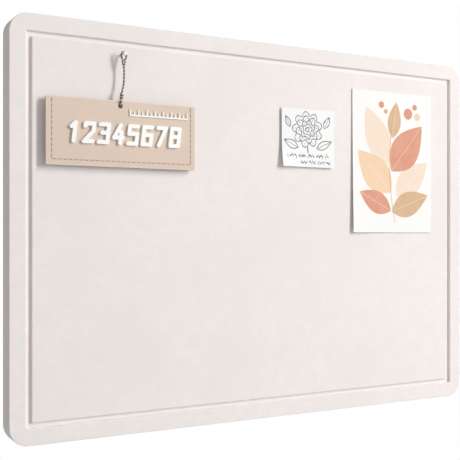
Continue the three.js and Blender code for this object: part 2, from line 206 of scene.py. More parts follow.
class Shader:
    """A node tree in the making."""

    def __init__(self, tree: bpy.types.NodeTree) -> None:
        """Empties the tree."""
        self.tree = tree
        tree.nodes.clear()

    def node(
        self,
        kind: str,
        settings: dict[str, Any] | None = None,
        inputs: dict[str | int, Any] | None = None,
        output: str | int = 0,
    ) -> Wire:
        """Adds a node.

        Args:
            kind: The node's type.
            settings: Its settings by name; "stops" are a colour ramp's places and colours.
            inputs: Numbers, colours or wires for its sockets, by name or number.
            output: The output to hand on.

        Returns:
            The chosen output.
        """
        made = self.tree.nodes.new(kind)
        for name, value in (settings or {}).items():
            if name == "stops":
                ramp = made.color_ramp.elements
                while len(ramp) < len(value):
                    ramp.new(1.0)
                for element, (place, colour) in zip(ramp, value):
                    element.position, element.color = place, colour
            else:
                setattr(made, name, value)
        for name, value in (inputs or {}).items():
            if isinstance(value, Wire):
                self.tree.links.new(value.socket, made.inputs[name])
            else:
                made.inputs[name].default_value = value
        return Wire(self, made.outputs[output]) if made.outputs else Wire(self, made.inputs[0])

    def place(self) -> Wire:
        """Returns the point on the surface, in metres in the frame."""
        return self.node("ShaderNodeTexCoord", output="Object")

    def axes(self, point: Wire) -> tuple[Wire, Wire, Wire]:
        """Returns the three parts of a point."""
        split = self.node("ShaderNodeSeparateXYZ", inputs={0: point})
        return split, split.other("Y"), split.other("Z")

    def noise(self, point: Wire, scale: float, detail: float = 2.0, rough: float = 0.5) -> Wire:
        """Returns a cloud of values near one half, `scale` patches to a unit of the point."""
        inputs = {"Vector": point, "Scale": scale, "Detail": detail, "Roughness": rough}
        return self.node("ShaderNodeTexNoise", inputs=inputs, output="Fac")

    def drawn(self, point: Wire, angle: float, stretch: Sequence[float]) -> Wire:
        """Turns a point in the board's plane and scales it.

        Args:
            point: The point.
            angle: The turn, in radians.
            stretch: The scale along each axis.

        Returns:
            The point, turned and scaled.
        """
        inputs = {"Vector": point, "Rotation": (0.0, angle, 0.0)}
        turned = self.node("ShaderNodeMapping", {"vector_type": "POINT"}, inputs)
        inputs = {"Vector": turned, "Scale": tuple(stretch)}
        return self.node("ShaderNodeMapping", {"vector_type": "POINT"}, inputs)

    def mix(self, share: Number, first: Wire | Colour, second: Wire | Colour) -> Wire:
        """Returns a colour between the first and the second."""
        inputs = {0: share, 6: first, 7: second}
        return self.node("ShaderNodeMix", {"data_type": "RGBA"}, inputs, output=2)

    def bump(self, height: Wire, depth: float, strength: float = 1.0) -> Wire:
        """Returns the normal over a relief that is `depth` millimetres deep."""
        inputs = {"Height": height, "Distance": depth * MM, "Strength": strength}
        return self.node("ShaderNodeBump", inputs=inputs)

    def finish(self, surface: Wire, into: str = "ShaderNodeOutputMaterial") -> None:
        """Joins the shader to the tree's output."""
        self.node(into, inputs={"Surface": surface})


# Finishes


@dataclass(frozen=True)
class Finish:
    """A surface's finish, made as one material round a Principled shader."""

    name: str

    def material(self) -> bpy.types.Material:
        """Makes the finish's material.

        Returns:
            The material.
        """
        material = bpy.data.materials.new(self.name)
        material.use_nodes = True
        shader = Shader(material.node_tree)
        shader.finish(shader.node("ShaderNodeBsdfPrincipled", inputs=self.build(shader)))
        return material

    def build(self, shader: Shader) -> dict[str, Any]:
        """Adds the finish's nodes and returns the Principled shader's values and wires."""
        raise NotImplementedError


@dataclass(frozen=True)
class SheetFinish(Finish):
    """The finish of a flat sheet, laid out in millimetres from its lower left corner."""

    width: float
    height: float

    def layout(self, shader: Shader) -> tuple[Wire, Wire, Wire]:
        """Lays the sheet out from its UV map.

        Args:
            shader: The tree that gets the nodes.

        Returns:
            The millimetres across and up, and both as one point.
        """
        split = shader.node("ShaderNodeSeparateXYZ", inputs={0: shader.node("ShaderNodeUVMap")})
        x, y = split * self.width, split.other("Y") * self.height
        return x, y, shader.node("ShaderNodeCombineXYZ", inputs={0: x, 1: y})


@dataclass(frozen=True)
class Felt(Finish):
    """Pressed felt: matt, faintly clouded, with fine fibres lying in every direction."""

    colour: Colour
    cloud: Colour
    fibre: Colour
    sheen: float = 0.12
    relief: float = 0.12
    fibre_length: float = 5.0
    fibre_width: float = 0.22
    directions: int = 4
    first_angle: float = 0.3
    fibre_share: float = 0.3
    fibre_edge: float = 9.0
    pile_scale: float = 900.0
    # Each cloud's scale, its detail, where it starts and is full, and its share
    clouds: tuple[tuple[float, float, float, float, float], ...] = (
        (11.0, 3.0, 0.38, 0.66, 0.75),
        (60.0, 4.0, 0.42, 0.7, 0.5),
        (150.0, 3.0, 0.38, 0.62, 0.45),
    )

    def build(self, shader: Shader) -> dict[str, Any]:
        """Adds the nodes of the felt.

        Args:
            shader: The tree that gets them.

        Returns:
            The Principled shader's values and wires, by socket.
        """
        point = shader.place()
        colour: Wire | Colour = self.colour
        for scale, detail, low, high, share in self.clouds:
            mask = shader.noise(point, scale, detail).step(low, high)
            colour = shader.mix(mask * share, colour, self.cloud)
        fibres: Number = 0.0
        for number in range(self.directions):
            stretch = (1 / self.fibre_length, 1 / self.fibre_width, 1 / self.fibre_width)
            angle = number * math.pi / self.directions + self.first_angle
            drawn = shader.drawn(point, angle, stretch)
            ridge = 1 - abs(shader.noise(drawn, 1 / MM, 1.0) * 2 - 1)
            fibres = (ridge**self.fibre_edge).most(fibres)
        pile = shader.noise(point, self.pile_scale, 3.0, 0.7)
        return {
            "Base Color": shader.mix(fibres * self.fibre_share, colour, self.fibre),
            "Roughness": 0.95,
            "Specular IOR Level": 0.15,
            "Sheen Weight": self.sheen,
            "Sheen Roughness": 0.6,
            "Normal": shader.bump(fibres * 0.6 + pile * 0.7, self.relief, 0.6),
        }


@dataclass(frozen=True)
class Steel(Finish):
    """Bright zinc-plated steel, drawn in one direction and lightly scratched."""

    colour: Colour = paint(0.6, 0.61, 0.62)
    roughness: float = 0.3
    tarnish: Colour = paint(0.42, 0.43, 0.45)

    def build(self, shader: Shader) -> dict[str, Any]:
        """Adds the nodes of the steel.

        Args:
            shader: The tree that gets them.

        Returns:
            The Principled shader's values and wires, by socket.
        """
        point = shader.place()
        drawn = shader.noise(shader.drawn(point, 0.0, (0.06, 1.0, 1.0)), 5000.0, 3.0)
        dull = shader.noise(point, 130.0, 4.0).step(0.4, 0.7)
        scratch = abs(shader.noise(shader.drawn(point, 0.8, (0.08, 1.0, 1.0)), 1500.0) * 2 - 1)
        scratch = 1 - scratch.step(0.0, 0.05)
        colour = shader.mix(dull * 0.35, self.colour, self.tarnish)
        return {
            "Base Color": colour,
            "Metallic": 1.0,
            "Roughness": drawn * 0.14 + dull * 0.12 + scratch * 0.1 + (self.roughness - 0.1),
            "Normal": shader.bump(drawn - scratch * 0.8, 0.01, 0.5),
        }


@dataclass(frozen=True)
class Plastic(Finish):
    """White moulded plastic with a faint satin unevenness."""

    colour: Colour = paint(0.94, 0.93, 0.91)
    shade: Colour = paint(0.88, 0.865, 0.84)
    roughness: float = 0.38
    coat_weight: float = 0.0

    def build(self, shader: Shader) -> dict[str, Any]:
        """Adds the nodes of the plastic.

        Args:
            shader: The tree that gets them.

        Returns:
            The Principled shader's values and wires, by socket.
        """
        point = shader.place()
        patches = shader.noise(point, 45.0, 3.0).step(0.4, 0.75)
        grain = shader.noise(point, 3000.0, 2.0)
        return {
            "Base Color": shader.mix(patches * 0.4, self.colour, self.shade),
            "Roughness": grain * 0.12 + (self.roughness - 0.06),
            "Coat Weight": self.coat_weight,
            "Normal": shader.bump(grain, 0.015, 0.4),
        }


@dataclass(frozen=True)
class Ply(Finish):
    """One ply of the twine, of fibres that run along it."""

    colour: Colour
    light: Colour

    def build(self, shader: Shader) -> dict[str, Any]:
        """Adds the nodes of the ply, whose UV map runs round and along it.

        Args:
            shader: The tree that gets them.

        Returns:
            The Principled shader's values and wires, by socket.
        """
        uv = shader.node("ShaderNodeUVMap")
        skewed = shader.node("ShaderNodeMapping", inputs={"Vector": uv, "Rotation": (0, 0, 0.35)})
        scaled = shader.node("ShaderNodeMapping", inputs={"Vector": skewed, "Scale": (9, 0.7, 1)})
        strands = shader.noise(scaled, 1.6, 3.0, 0.6)
        soft = shader.noise(shader.place(), 4500.0, 2.0)
        return {
            "Base Color": shader.mix(strands.step(0.42, 0.72) * 0.7, self.colour, self.light),
            "Roughness": 0.9,
            "Sheen Weight": 0.15,
            "Normal": shader.bump(strands + soft * 0.4, 0.06, 0.9),
        }


@dataclass(frozen=True)
class Leather(Finish):
    """Fine-grained tag leather whose edges are paler, partly as the cut edge's own tone and partly as a
    painted highlight, and darker along its stitch line.
    """

    width: float
    height: float
    centre: Pair
    stitch_inset: float
    colour: Colour = paint(0.715, 0.585, 0.485)
    warm: Colour = paint(0.745, 0.6, 0.49)
    # The rim's paler colour: partly the cut edge's own tone, partly a painted highlight
    pale: Colour = paint(0.83, 0.73, 0.65)
    dark: Colour = paint(0.5, 0.385, 0.31)
    grain: float = 0.75

    def build(self, shader: Shader) -> dict[str, Any]:
        """Adds the nodes of the leather.

        Args:
            shader: The tree that gets them.

        Returns:
            The Principled shader's values and wires, by socket.
        """
        point = shader.place()
        x, _, z = shader.axes(point)
        from_side = self.width / 2 - abs(x / MM - self.centre[0])
        height = z / MM - self.centre[1]
        # Mask of the rim along the tag's edges, which is painted paler: partly its own tone, partly a
        # painted highlight
        edge = 1 - from_side.least(self.height / 2 - abs(height)).step(0.1, 1.5)
        inside = from_side.least(self.height / 2 + height)
        press = 1 - abs(inside - self.stitch_inset).step(0.3, 1.2)
        bent = shader.node(
            "ShaderNodeVectorMath",
            {"operation": "MULTIPLY_ADD"},
            {
                0: shader.node("ShaderNodeTexNoise", inputs={"Vector": point, "Scale": 700.0}, output=1),
                1: (0.0006,) * 3,
                2: point,
            },
        )
        cells = shader.node(
            "ShaderNodeTexVoronoi",
            {"feature": "DISTANCE_TO_EDGE"},
            {"Vector": bent, "Scale": 1 / (self.grain * MM), "Randomness": 0.9},
        ).step(0.0, 0.16)
        pores = shader.noise(point, 3200.0, 2.0)
        patches = shader.noise(point, 28.0, 4.0).step(0.35, 0.7)
        colour = shader.mix(patches, self.colour, self.warm)
        colour = shader.mix((1 - cells) * 0.16, colour, self.dark)
        colour = shader.mix(press * 0.12, colour, self.dark)
        # Paler rim within 1.5 mm of the edges: partly the cut edge's own tone, partly a painted highlight
        colour = shader.mix(edge * 0.75, colour, self.pale)
        return {
            "Base Color": colour,
            "Roughness": cells * -0.08 + pores * 0.12 + edge * 0.05 + 0.58,
            "Specular IOR Level": 0.35,
            "Normal": shader.bump(cells * 0.7 + pores * 0.35, 0.05, 0.5),
        }


@dataclass(frozen=True)
class Cardboard(Finish):
    """Grey-brown board whose plies show as fine streaks along the cut edge."""

    colour: Colour = paint(0.5, 0.38, 0.28)
    light: Colour = paint(0.62, 0.5, 0.39)

    def build(self, shader: Shader) -> dict[str, Any]:
        """Adds the nodes of the board.

        Args:
            shader: The tree that gets them.

        Returns:
            The Principled shader's values and wires, by socket.
        """
        point = shader.place()
        plies = shader.noise(shader.drawn(point, 0.0, (0.1, 1.0, 0.1)), 4200.0, 3.0)
        fibres = shader.noise(point, 1400.0, 4.0, 0.7)
        return {
            "Base Color": shader.mix((plies + fibres) * 0.5, self.colour, self.light),
            "Roughness": 0.92,
            "Normal": shader.bump(plies + fibres, 0.05, 0.6),
        }


@dataclass(frozen=True)
class Thread(Finish):
    """Waxed sewing thread with a tight twist."""

    colour: Colour = paint(0.4, 0.27, 0.195)
    light: Colour = paint(0.56, 0.43, 0.34)

    def build(self, shader: Shader) -> dict[str, Any]:
        """Adds the nodes of the thread, whose UV map runs round and along it.

        Args:
            shader: The tree that gets them.

        Returns:
            The Principled shader's values and wires, by socket.
        """
        uv = shader.node("ShaderNodeSeparateXYZ", inputs={0: shader.node("ShaderNodeUVMap")})
        twist = ((uv + uv.other("Y") * 1.6) * (2 * TURN)).sine() * 0.5 + 0.5
        fluff = shader.noise(shader.place(), 6000.0, 2.0)
        return {
            "Base Color": shader.mix(twist * 0.7 + fluff * 0.3, self.colour, self.light),
            "Roughness": 0.6,
            "Normal": shader.bump(twist + fluff * 0.3, 0.07, 0.8),
        }


@dataclass(frozen=True)
class Foam(Finish):
    """White closed-cell foam of the adhesive pads."""

    colour: Colour = paint(0.88, 0.87, 0.84)
    pore: Colour = paint(0.66, 0.65, 0.62)
    cell: float = 0.32

    def build(self, shader: Shader) -> dict[str, Any]:
        """Adds the nodes of the foam.

        Args:
            shader: The tree that gets them.

        Returns:
            The Principled shader's values and wires, by socket.
        """
        point = shader.place()
        cells = shader.node(
            "ShaderNodeTexVoronoi", {"feature": "F1"}, {"Vector": point, "Scale": 1 / (self.cell * MM)}
        ).step(0.1, 0.6)
        tint = shader.noise(point, 200.0, 3.0)
        return {
            "Base Color": shader.mix((1 - cells) * 0.5 + tint * 0.15, self.colour, self.pore),
            "Roughness": 0.93,
            "Normal": shader.bump(cells, 0.08, 0.7),
        }


@dataclass(frozen=True)
class Stroke:
    """One leaf-shaped patch of a print, or the pen line round one."""

    x: float
    y: float
    length: float
    width: float
    angle: float
    colour: Colour = paint(0, 0, 0)

    def spread(self, x: Wire, y: Wire) -> Wire:
        """Measures how far a point lies inside the leaf.

        Args:
            x: The point's place across, in millimetres.
            y: Its height, in millimetres.

        Returns:
            The distance in millimetres, which is negative outside the leaf.
        """
        turn = math.radians(self.angle)
        cos, sin = math.cos(turn), math.sin(turn)
        along = (x * cos + y * sin - (self.x * cos + self.y * sin)) / (self.length / 2)
        across = y * cos - x * sin - (self.y * cos - self.x * sin)
        swell = (1 - along * along) * (1 - along * 0.28)
        return swell * (self.width / 2) - abs(across)

    def across(self, x: Wire, y: Wire) -> Wire:
        """Measures how far a point lies from the leaf's midrib.

        Args:
            x: The point's place across, in millimetres.
            y: Its height, in millimetres.

        Returns:
            The distance, in millimetres.
        """
        turn = math.radians(self.angle)
        cos, sin = math.cos(turn), math.sin(turn)
        return abs(y * cos - x * sin - (self.y * cos - self.x * sin))


@dataclass(frozen=True)
class Spot:
    """A round patch of a print."""

    x: float
    y: float
    radius: float
    colour: Colour = paint(0, 0, 0)

    def spread(self, x: Wire, y: Wire) -> Wire:
        """Returns the millimetres that a point lies inside the spot, which are negative outside."""
        across, up = x - self.x, y - self.y
        return self.radius - (across * across + up * up) ** 0.5


TERRACOTTA = paint(0.685, 0.28, 0.163)
ROSE = paint(0.67, 0.27, 0.19)
PEACH = paint(0.885, 0.708, 0.56)
SAND = paint(0.865, 0.605, 0.385)
TAN = paint(0.655, 0.408, 0.222)


@dataclass(frozen=True)
class PrintedCard(SheetFinish):
    """White card printed with a leafy sprig in terracotta, peach, sand and tan."""

    paper: Colour = paint(0.922, 0.905, 0.88)
    shade: Colour = paint(0.6, 0.58, 0.55)
    leaves: tuple[Stroke, ...] = (
        Stroke(38, 121, 80, 37, 116, PEACH),
        Stroke(94, 68, 68, 35, 40, PEACH),
        Stroke(86, 107, 78, 43, 50, TERRACOTTA),
        Stroke(34, 76, 74, 40, 136, SAND),
        Stroke(91, 37, 64, 31, 20, TAN),
        Stroke(35, 39, 56, 27, 155, TERRACOTTA),
        Stroke(66, 142, 48, 21, 82, TAN),
    )
    berries: tuple[Spot, ...] = (
        Spot(88, 151, 7.2, TERRACOTTA),
        Spot(103, 148, 5.0, SAND),
        Spot(99, 160, 4.0, ROSE),
        Spot(45, 160, 4.4, TERRACOTTA),
        Spot(52, 152, 3.2, TAN),
    )
    rag: float = 0.5
    edge: float = 0.35
    stem_x: float = 58.0
    stem_middle: float = 86.0
    stem_bend: float = 0.0016
    stem_width: float = 0.75
    stem_foot: float = 12.0
    stem_top: float = 158.0

    def build(self, shader: Shader) -> dict[str, Any]:
        """Adds the nodes of the printed card.

        Args:
            shader: The tree that gets them.

        Returns:
            The Principled shader's values and wires, by socket.
        """
        x, y, point = self.layout(shader)
        brush = shader.noise(shader.drawn(point, 0.0, (1.0, 0.25, 1.0)), 0.55, 4.0, 0.6)
        wash = shader.noise(point, 0.06, 3.0)
        rag = (shader.noise(point, 0.9, 2.0) - 0.5) * self.rag
        colour: Wire | Colour = self.paper
        for leaf in self.leaves:
            mask = (leaf.spread(x, y) + rag).step(0.0, self.edge)
            rib = leaf.across(x, y).step(0.15, 0.5) * 0.5 + 0.5
            tone = mask * rib * (brush * 0.22 + wash * 0.25 + 0.68).least(1.0)
            colour = shader.mix(tone, colour, leaf.colour)
        for berry in self.berries:
            mask = (berry.spread(x, y) + rag).step(0.0, self.edge)
            colour = shader.mix(mask * (brush * 0.3 + 0.8).least(1.0), colour, berry.colour)
        up = y - self.stem_middle
        stem = (self.stem_width - abs(x - up * up * self.stem_bend - self.stem_x)).step(0.0, 0.4)
        stem = stem * y.step(self.stem_foot, self.stem_foot + 1)
        stem = stem * (1 - y.step(self.stem_top, self.stem_top + 1))
        colour = shader.mix(stem * 0.85, colour, TAN)
        tooth = shader.noise(point, 2.6, 3.0, 0.6)
        return {
            "Base Color": shader.mix(tooth.step(0.5, 0.8) * 0.06, colour, self.shade),
            "Roughness": tooth * 0.1 + 0.62,
            "Specular IOR Level": 0.3,
            "Normal": shader.bump(tooth, 0.03, 0.4),
        }


@dataclass(frozen=True)
class InkedNote(SheetFinish):
    """White note paper with a pen drawing of a flower over two rows of pen waves."""

    paper: Colour = paint(0.925, 0.925, 0.92)
    shade: Colour = paint(0.75, 0.74, 0.72)
    ink: Colour = paint(0.035, 0.035, 0.045)
    pen: float = 0.5
    flower: Pair = (36.0, 44.5)
    # Each ring's radius, petals and turn, the reach of its veins, and each row's height and ends
    rings: tuple[tuple[float, int, float], ...] = (
        (20.5, 9, 0.2),
        (15.6, 8, 0.9),
        (10.8, 7, 0.4),
        (6.4, 5, 1.1),
        (2.6, 3, 0.0),
    )
    veins: tuple[Pair, ...] = ((16.6, 18.1), (12.0, 13.7), (7.4, 9.2))
    leaves: tuple[Stroke, ...] = (
        Stroke(60, 27, 23, 9, 24),
        Stroke(13, 27, 21, 9, 156),
        Stroke(64, 54, 16, 7, 62),
        Stroke(8.5, 53, 14, 6, 118),
    )
    rows: tuple[tuple[float, float, float, float], ...] = (
        (13.4, 7.0, 66.0, 0.0),
        (5.6, 24.0, 68.0, 5.3),
    )

    def line(self, far: Wire, width: float) -> Wire:
        """Returns the ink of a pen line where the pen's path is `far` millimetres away."""
        return 1 - abs(far).step(width * 0.6, width * 1.6)

    def blossom(self, x: Wire, y: Wire) -> Wire:
        """Draws the flower's petals, veins, stem and leaves.

        Args:
            x: A point's place across, in millimetres.
            y: Its height, in millimetres.

        Returns:
            The ink, from 0 to 1.
        """
        across, up = x - self.flower[0], y - self.flower[1]
        far = (across * across + up * up) ** 0.5
        angle = across.sum("ARCTAN2", up, across)
        ink: Number = 0.0
        for radius, petals, phase in self.rings:
            lobe = abs((angle * (petals / 2) + phase).sine())
            ink = self.line(far - (lobe * 0.26 + 0.78) * radius, self.pen).most(ink)
        for (_, petals, phase), (inner, outer) in zip(self.rings, self.veins):
            turns = 1.5 * petals
            vein = abs((angle * turns + (3 * phase + TURN / 4)).sine()) * far * (1 / turns)
            reach = far.step(inner, inner + 0.5) * (1 - far.step(outer, outer + 0.5))
            ink = (self.line(vein, self.pen * 0.7) * reach * 0.8).most(ink)
        bend = across - (up + 20) * (up + 20) * 0.02
        stem = self.line(bend, self.pen * 1.2) * (1 - up.step(-20.5, -19.5)) * up.step(-28, -27)
        ink = stem.most(ink)
        for leaf in self.leaves:
            spread = leaf.spread(x, y)
            rib = self.line(leaf.across(x, y), self.pen * 0.7) * spread.step(0.0, 0.3)
            ink = self.line(spread, self.pen).most(rib * 0.8).most(ink)
        return ink

    def build(self, shader: Shader) -> dict[str, Any]:
        """Adds the nodes of the inked note.

        Args:
            shader: The tree that gets them.

        Returns:
            The Principled shader's values and wires, by socket.
        """
        flat_x, flat_y, point = self.layout(shader)
        shake = shader.noise(point, 0.35, 2.0) - 0.5
        x, y = flat_x + shake * 1.4, flat_y - shake * 1.1
        ink = self.blossom(x, y)
        for height, left, right, phase in self.rows:
            wave = (x * 1.5 + phase).sine() * 1.5 + (x * 2.7 + phase).sine() * 0.9
            lift = shader.noise(point, 0.24, 0.0).step(0.4, 0.6) * 0.8 + 0.45
            words = (x * 0.5 + phase).sine().step(-0.9, -0.76)
            span = x.step(left, left + 0.4) * (1 - x.step(right, right + 0.4))
            ink = (self.line((y - height - wave * lift) * 0.5, self.pen * 0.8) * span * words).most(ink)
        press = shader.noise(point, 1.1, 3.0).step(0.3, 0.6) * 0.3 + 0.7
        fibres = shader.noise(point, 3.0, 4.0, 0.7)
        colour = shader.mix(fibres.step(0.5, 0.8) * 0.08, self.paper, self.shade)
        return {
            "Base Color": shader.mix(ink * press, colour, self.ink),
            "Roughness": fibres * 0.08 + 0.82,
            "Specular IOR Level": 0.2,
            "Normal": shader.bump(fibres, 0.03, 0.5),
        }


# Mesh tools


@dataclass(frozen=True)
class Outline:
    """A rounded rectangle that faces the front."""

    width: float
    height: float
    radius: float
    x: float = 0.0
    z: float = 0.0
    steps: int = 12
    least_radius: float = 0.02

    def points(self, inset: float) -> Pairs:
        """Draws the outline in.

        Args:
            inset: The distance in from the outline's own edge.

        Returns:
            The points across and up, anticlockwise.
        """
        radius = max(self.radius - inset, self.least_radius)
        found = []
        for corner, (side, end) in enumerate([(1, -1), (1, 1), (-1, 1), (-1, -1)]):
            middle_x = self.x + side * (self.width / 2 - inset - radius)
            middle_z = self.z + end * (self.height / 2 - inset - radius)
            for step in range(self.steps + 1):
                angle = (corner - 1 + step / self.steps) * TURN / 4
                found.append(
                    (middle_x + radius * math.cos(angle), middle_z + radius * math.sin(angle))
                )
        return found

    def ring(self, inset: float, out: float) -> list[Vector]:
        """Returns those points at a distance from the wall."""
        return [at(x, out, z) for x, z in self.points(inset)]


def round_over(radius: float, out: float, inward: int, steps: int = 5) -> Pairs:
    """Returns a slab's rounded edge.

    Args:
        radius: The round's radius.
        out: The flat face's distance from the wall.
        inward: 1 where the slab lies in front of the face, and -1 where it lies behind it.
        steps: The faces across the round.

    Returns:
        Insets and distances out, from the flat of the face to the slab's side.
    """
    return [
        (radius * (1 - math.sin(a)), out + inward * radius * (1 - math.cos(a)))
        for a in quarter(steps)
    ]


def slab_profile(back: float, front: float, back_round: float, front_round: float) -> Pairs:
    """Draws a slab's cross-section.

    Args:
        back: The back face's distance from the wall.
        front: The front face's distance from the wall.
        back_round: The radius of the back edge.
        front_round: The radius of the front edge.

    Returns:
        Insets and distances out, from the back face round to the front.
    """
    rear = [(back_round + HOLD, back), *round_over(back_round, back, 1)]
    fore = [(front_round + HOLD, front), *round_over(front_round, front, -1)]
    return rear + fore[::-1]


@dataclass
class Mould:
    """Gathers the faces of one piece."""

    name: str
    faces: bmesh.types.BMesh = field(default_factory=bmesh.new)

    def ring(self, points: Iterable[Vector]) -> list[bmesh.types.BMVert]:
        """Returns a row of new corners at the points."""
        return [self.faces.verts.new(point) for point in points]

    def skin(
        self,
        rings: Sequence[Sequence[Vector]],
        closed: bool = False,
        slot: int = 0,
        along: Sequence[float] | None = None,
    ) -> None:
        """Joins rings of points into a closed skin.

        Args:
            rings: The rings, all with as many points.
            closed: Whether the last ring joins the first; otherwise both ends are capped.
            slot: The number of the faces' material.
            along: How far along each ring lies, for a UV map that runs round and along.
        """
        rows = [self.ring(points) for points in rings]
        pairs = list(zip(rows, rows[1:])) + ([(rows[-1], rows[0])] if closed else [])
        uv = self.faces.loops.layers.uv.verify() if along else None
        made = []
        for number, (first, second) in enumerate(pairs):
            for side in range(len(first)):
                after = (side + 1) % len(first)
                corners = (first[side], first[after], second[after], second[side])
                face = self.faces.faces.new(corners)
                made.append(face)
                if along:
                    start, end = side / len(first), (side + 1) / len(first)
                    ends = (along[number], along[min(number + 1, len(along) - 1)])
                    places = ((start, ends[0]), (end, ends[0]), (end, ends[1]), (start, ends[1]))
                    for loop, place in zip(face.loops, places):
                        loop[uv].uv = place
        if not closed:
            made += [self.faces.faces.new(rows[0]), self.faces.faces.new(rows[-1])]
        for face in made:
            face.material_index = slot

    def slab(self, outline: Outline, profile: Pairs) -> Mould:
        """Adds a slab whose insets and distances out are in the profile, and returns the mould."""
        self.skin([outline.ring(inset, out) for inset, out in profile])
        return self

    def turned(self, profile: Pairs, x: float, z: float, sides: int = 32) -> Mould:
        """Adds a solid of revolution about the line out of the wall at (x, z).

        Args:
            profile: Radii and distances out, from one end to the other.
            x: The line's place across.
            z: The line's height.
            sides: The faces round it.

        Returns:
            The mould.
        """
        self.skin(
            [
                [at(x + reach * math.cos(a), out, z + reach * math.sin(a)) for a in circle(sides)]
                for reach, out in profile
            ]
        )
        return self

    def tube(
        self, line: Sequence[Vector], radii: Sequence[float], sides: int = 8, slot: int = 0
    ) -> Mould:
        """Adds a round tube.

        Args:
            line: The points down its middle, in metres.
            radii: Its radius at each point, in millimetres.
            sides: The faces round it.
            slot: The number of its material.

        Returns:
            The mould.
        """
        rings, along, run = [], [], 0.0
        for number, (point, (side, up), radius) in enumerate(zip(line, frames(line), radii)):
            run += (point - line[number - 1]).length / MM if number else 0.0
            along.append(run)
            rings.append(
                [
                    point + (side * math.cos(a) + up * math.sin(a)) * (radius * MM)
                    for a in circle(sides)
                ]
            )
        self.skin(rings, slot=slot, along=along)
        return self

    def done(self, sharp: float = SHARP) -> bpy.types.Object:
        """Turns the faces into an object.

        Args:
            sharp: Edges that turn by more degrees than this stay sharp.

        Returns:
            The object, in place.
        """
        bmesh.ops.recalc_face_normals(self.faces, faces=self.faces.faces)
        data = bpy.data.meshes.new(self.name)
        self.faces.to_mesh(data)
        self.faces.free()
        smooth(data, sharp)
        piece = bpy.data.objects.new(self.name, data)
        bpy.context.scene.collection.objects.link(piece)
        return piece


def smooth(mesh: bpy.types.Mesh, sharp: float = SHARP) -> None:
    """Shades a mesh smooth, but for edges that turn by more than `sharp` degrees."""
    mesh.shade_smooth()
    mesh.set_sharp_from_angle(angle=math.radians(sharp))


def frames(line: Sequence[Vector]) -> list[tuple[Vector, Vector]]:
    """Carries two directions along a line, turning them as little as can be.

    Args:
        line: The line's points.

    Returns:
        Two directions across the line at each point.
    """
    found = []
    ahead = (line[1] - line[0]).normalized()
    side = ahead.orthogonal().normalized()
    for number in range(len(line)):
        before, after = line[max(number - 1, 0)], line[min(number + 1, len(line) - 1)]
        turned = (after - before).normalized()
        side = ahead.rotation_difference(turned) @ side
        side = (side - turned * side.dot(turned)).normalized()
        ahead = turned
        found.append((side, turned.cross(side)))
    return found


def smooth_line(points: Sequence[Vector], spacing: float) -> list[Vector]:
    """Returns a centripetal Catmull-Rom curve through the points.

    Args:
        points: The points, in metres.
        spacing: The distance between the curve's own points, in millimetres.

    Returns:
        The curve's points, from the first to the last.
    """
    padded = [points[0] * 2 - points[1], *points, points[-1] * 2 - points[-2]]
    found = []
    for a, b, c, d in zip(padded, padded[1:], padded[2:], padded[3:]):
        first, second, third = ((q - p).length ** 0.5 for p, q in ((a, b), (b, c), (c, d)))
        knots = (0.0, first, first + second, first + second + third)
        steps = max(2, math.ceil((c - b).length / (spacing * MM)))
        for step in range(steps):
            t = knots[1] + second * step / steps
            row = [a, b, c, d]
            for low, high in ((0, 1), (0, 2), (1, 2)):
                spans = zip(knots[low:], knots[high:])
                row = [p.lerp(q, (t - s) / (e - s)) for p, q, (s, e) in zip(row, row[1:], spans)]
            found.append(row[0])
    return [*found, points[-1].copy()]


def carve(piece: bpy.types.Object, cutters: Sequence[bpy.types.Object]) -> bpy.types.Object:
    """Cuts closed shapes out of a piece and removes them.

    Args:
        piece: The piece.
        cutters: The shapes.

    Returns:
        The piece.
    """
    for cutter in cutters:
        cut = piece.modifiers.new("cut", "BOOLEAN")
        cut.object, cut.operation, cut.solver = cutter, "DIFFERENCE", "EXACT"
    graph = bpy.context.evaluated_depsgraph_get()
    mesh = bpy.data.meshes.new_from_object(piece.evaluated_get(graph))
    piece.modifiers.clear()
    piece.data = mesh
    smooth(mesh)
    for cutter in cutters:
        bpy.data.objects.remove(cutter)
    return piece


def put(
    piece: bpy.types.Object,
    body: Body,
    materials: Sequence[bpy.types.Material],
    nodes: Sequence[str] = (),
) -> bpy.types.Object:
    """Dresses a finished piece and hangs it on its body.

    Args:
        piece: The piece, in place.
        body: The body that carries it.
        materials: Its materials, in the order of its faces' numbers.
        nodes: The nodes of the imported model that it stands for.

    Returns:
        The piece.
    """
    for material in materials:
        piece.data.materials.append(material)
    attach(piece, body.value)
    return register(piece, nodes)


def register(
    piece: bpy.types.Object, nodes: Sequence[str] = ()
) -> bpy.types.Object:
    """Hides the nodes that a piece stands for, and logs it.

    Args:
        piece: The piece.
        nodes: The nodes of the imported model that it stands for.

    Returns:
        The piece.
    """
    if nodes:
        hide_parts(*nodes)
    LOG.info("%s: %d faces", piece.name, len(piece.data.polygons))
    return piece


def redress(
    name: str, material: bpy.types.Material, bevel: float, turn: float = 40.0
) -> None:
    """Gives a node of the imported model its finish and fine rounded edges.

    Args:
        name: The node's name.
        material: Its material.
        bevel: The width of its rounded edges, in millimetres.
        turn: Edges that turn by more degrees than this are rounded.
    """
    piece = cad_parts[name]
    for holder in piece.material_slots:
        holder.material = material
    edge = piece.modifiers.new("edge", "BEVEL")
    edge.width, edge.segments, edge.limit_method = bevel * MM, 2, "ANGLE"
    edge.angle_limit = math.radians(turn)
    register(piece)


# Sub-assemblies


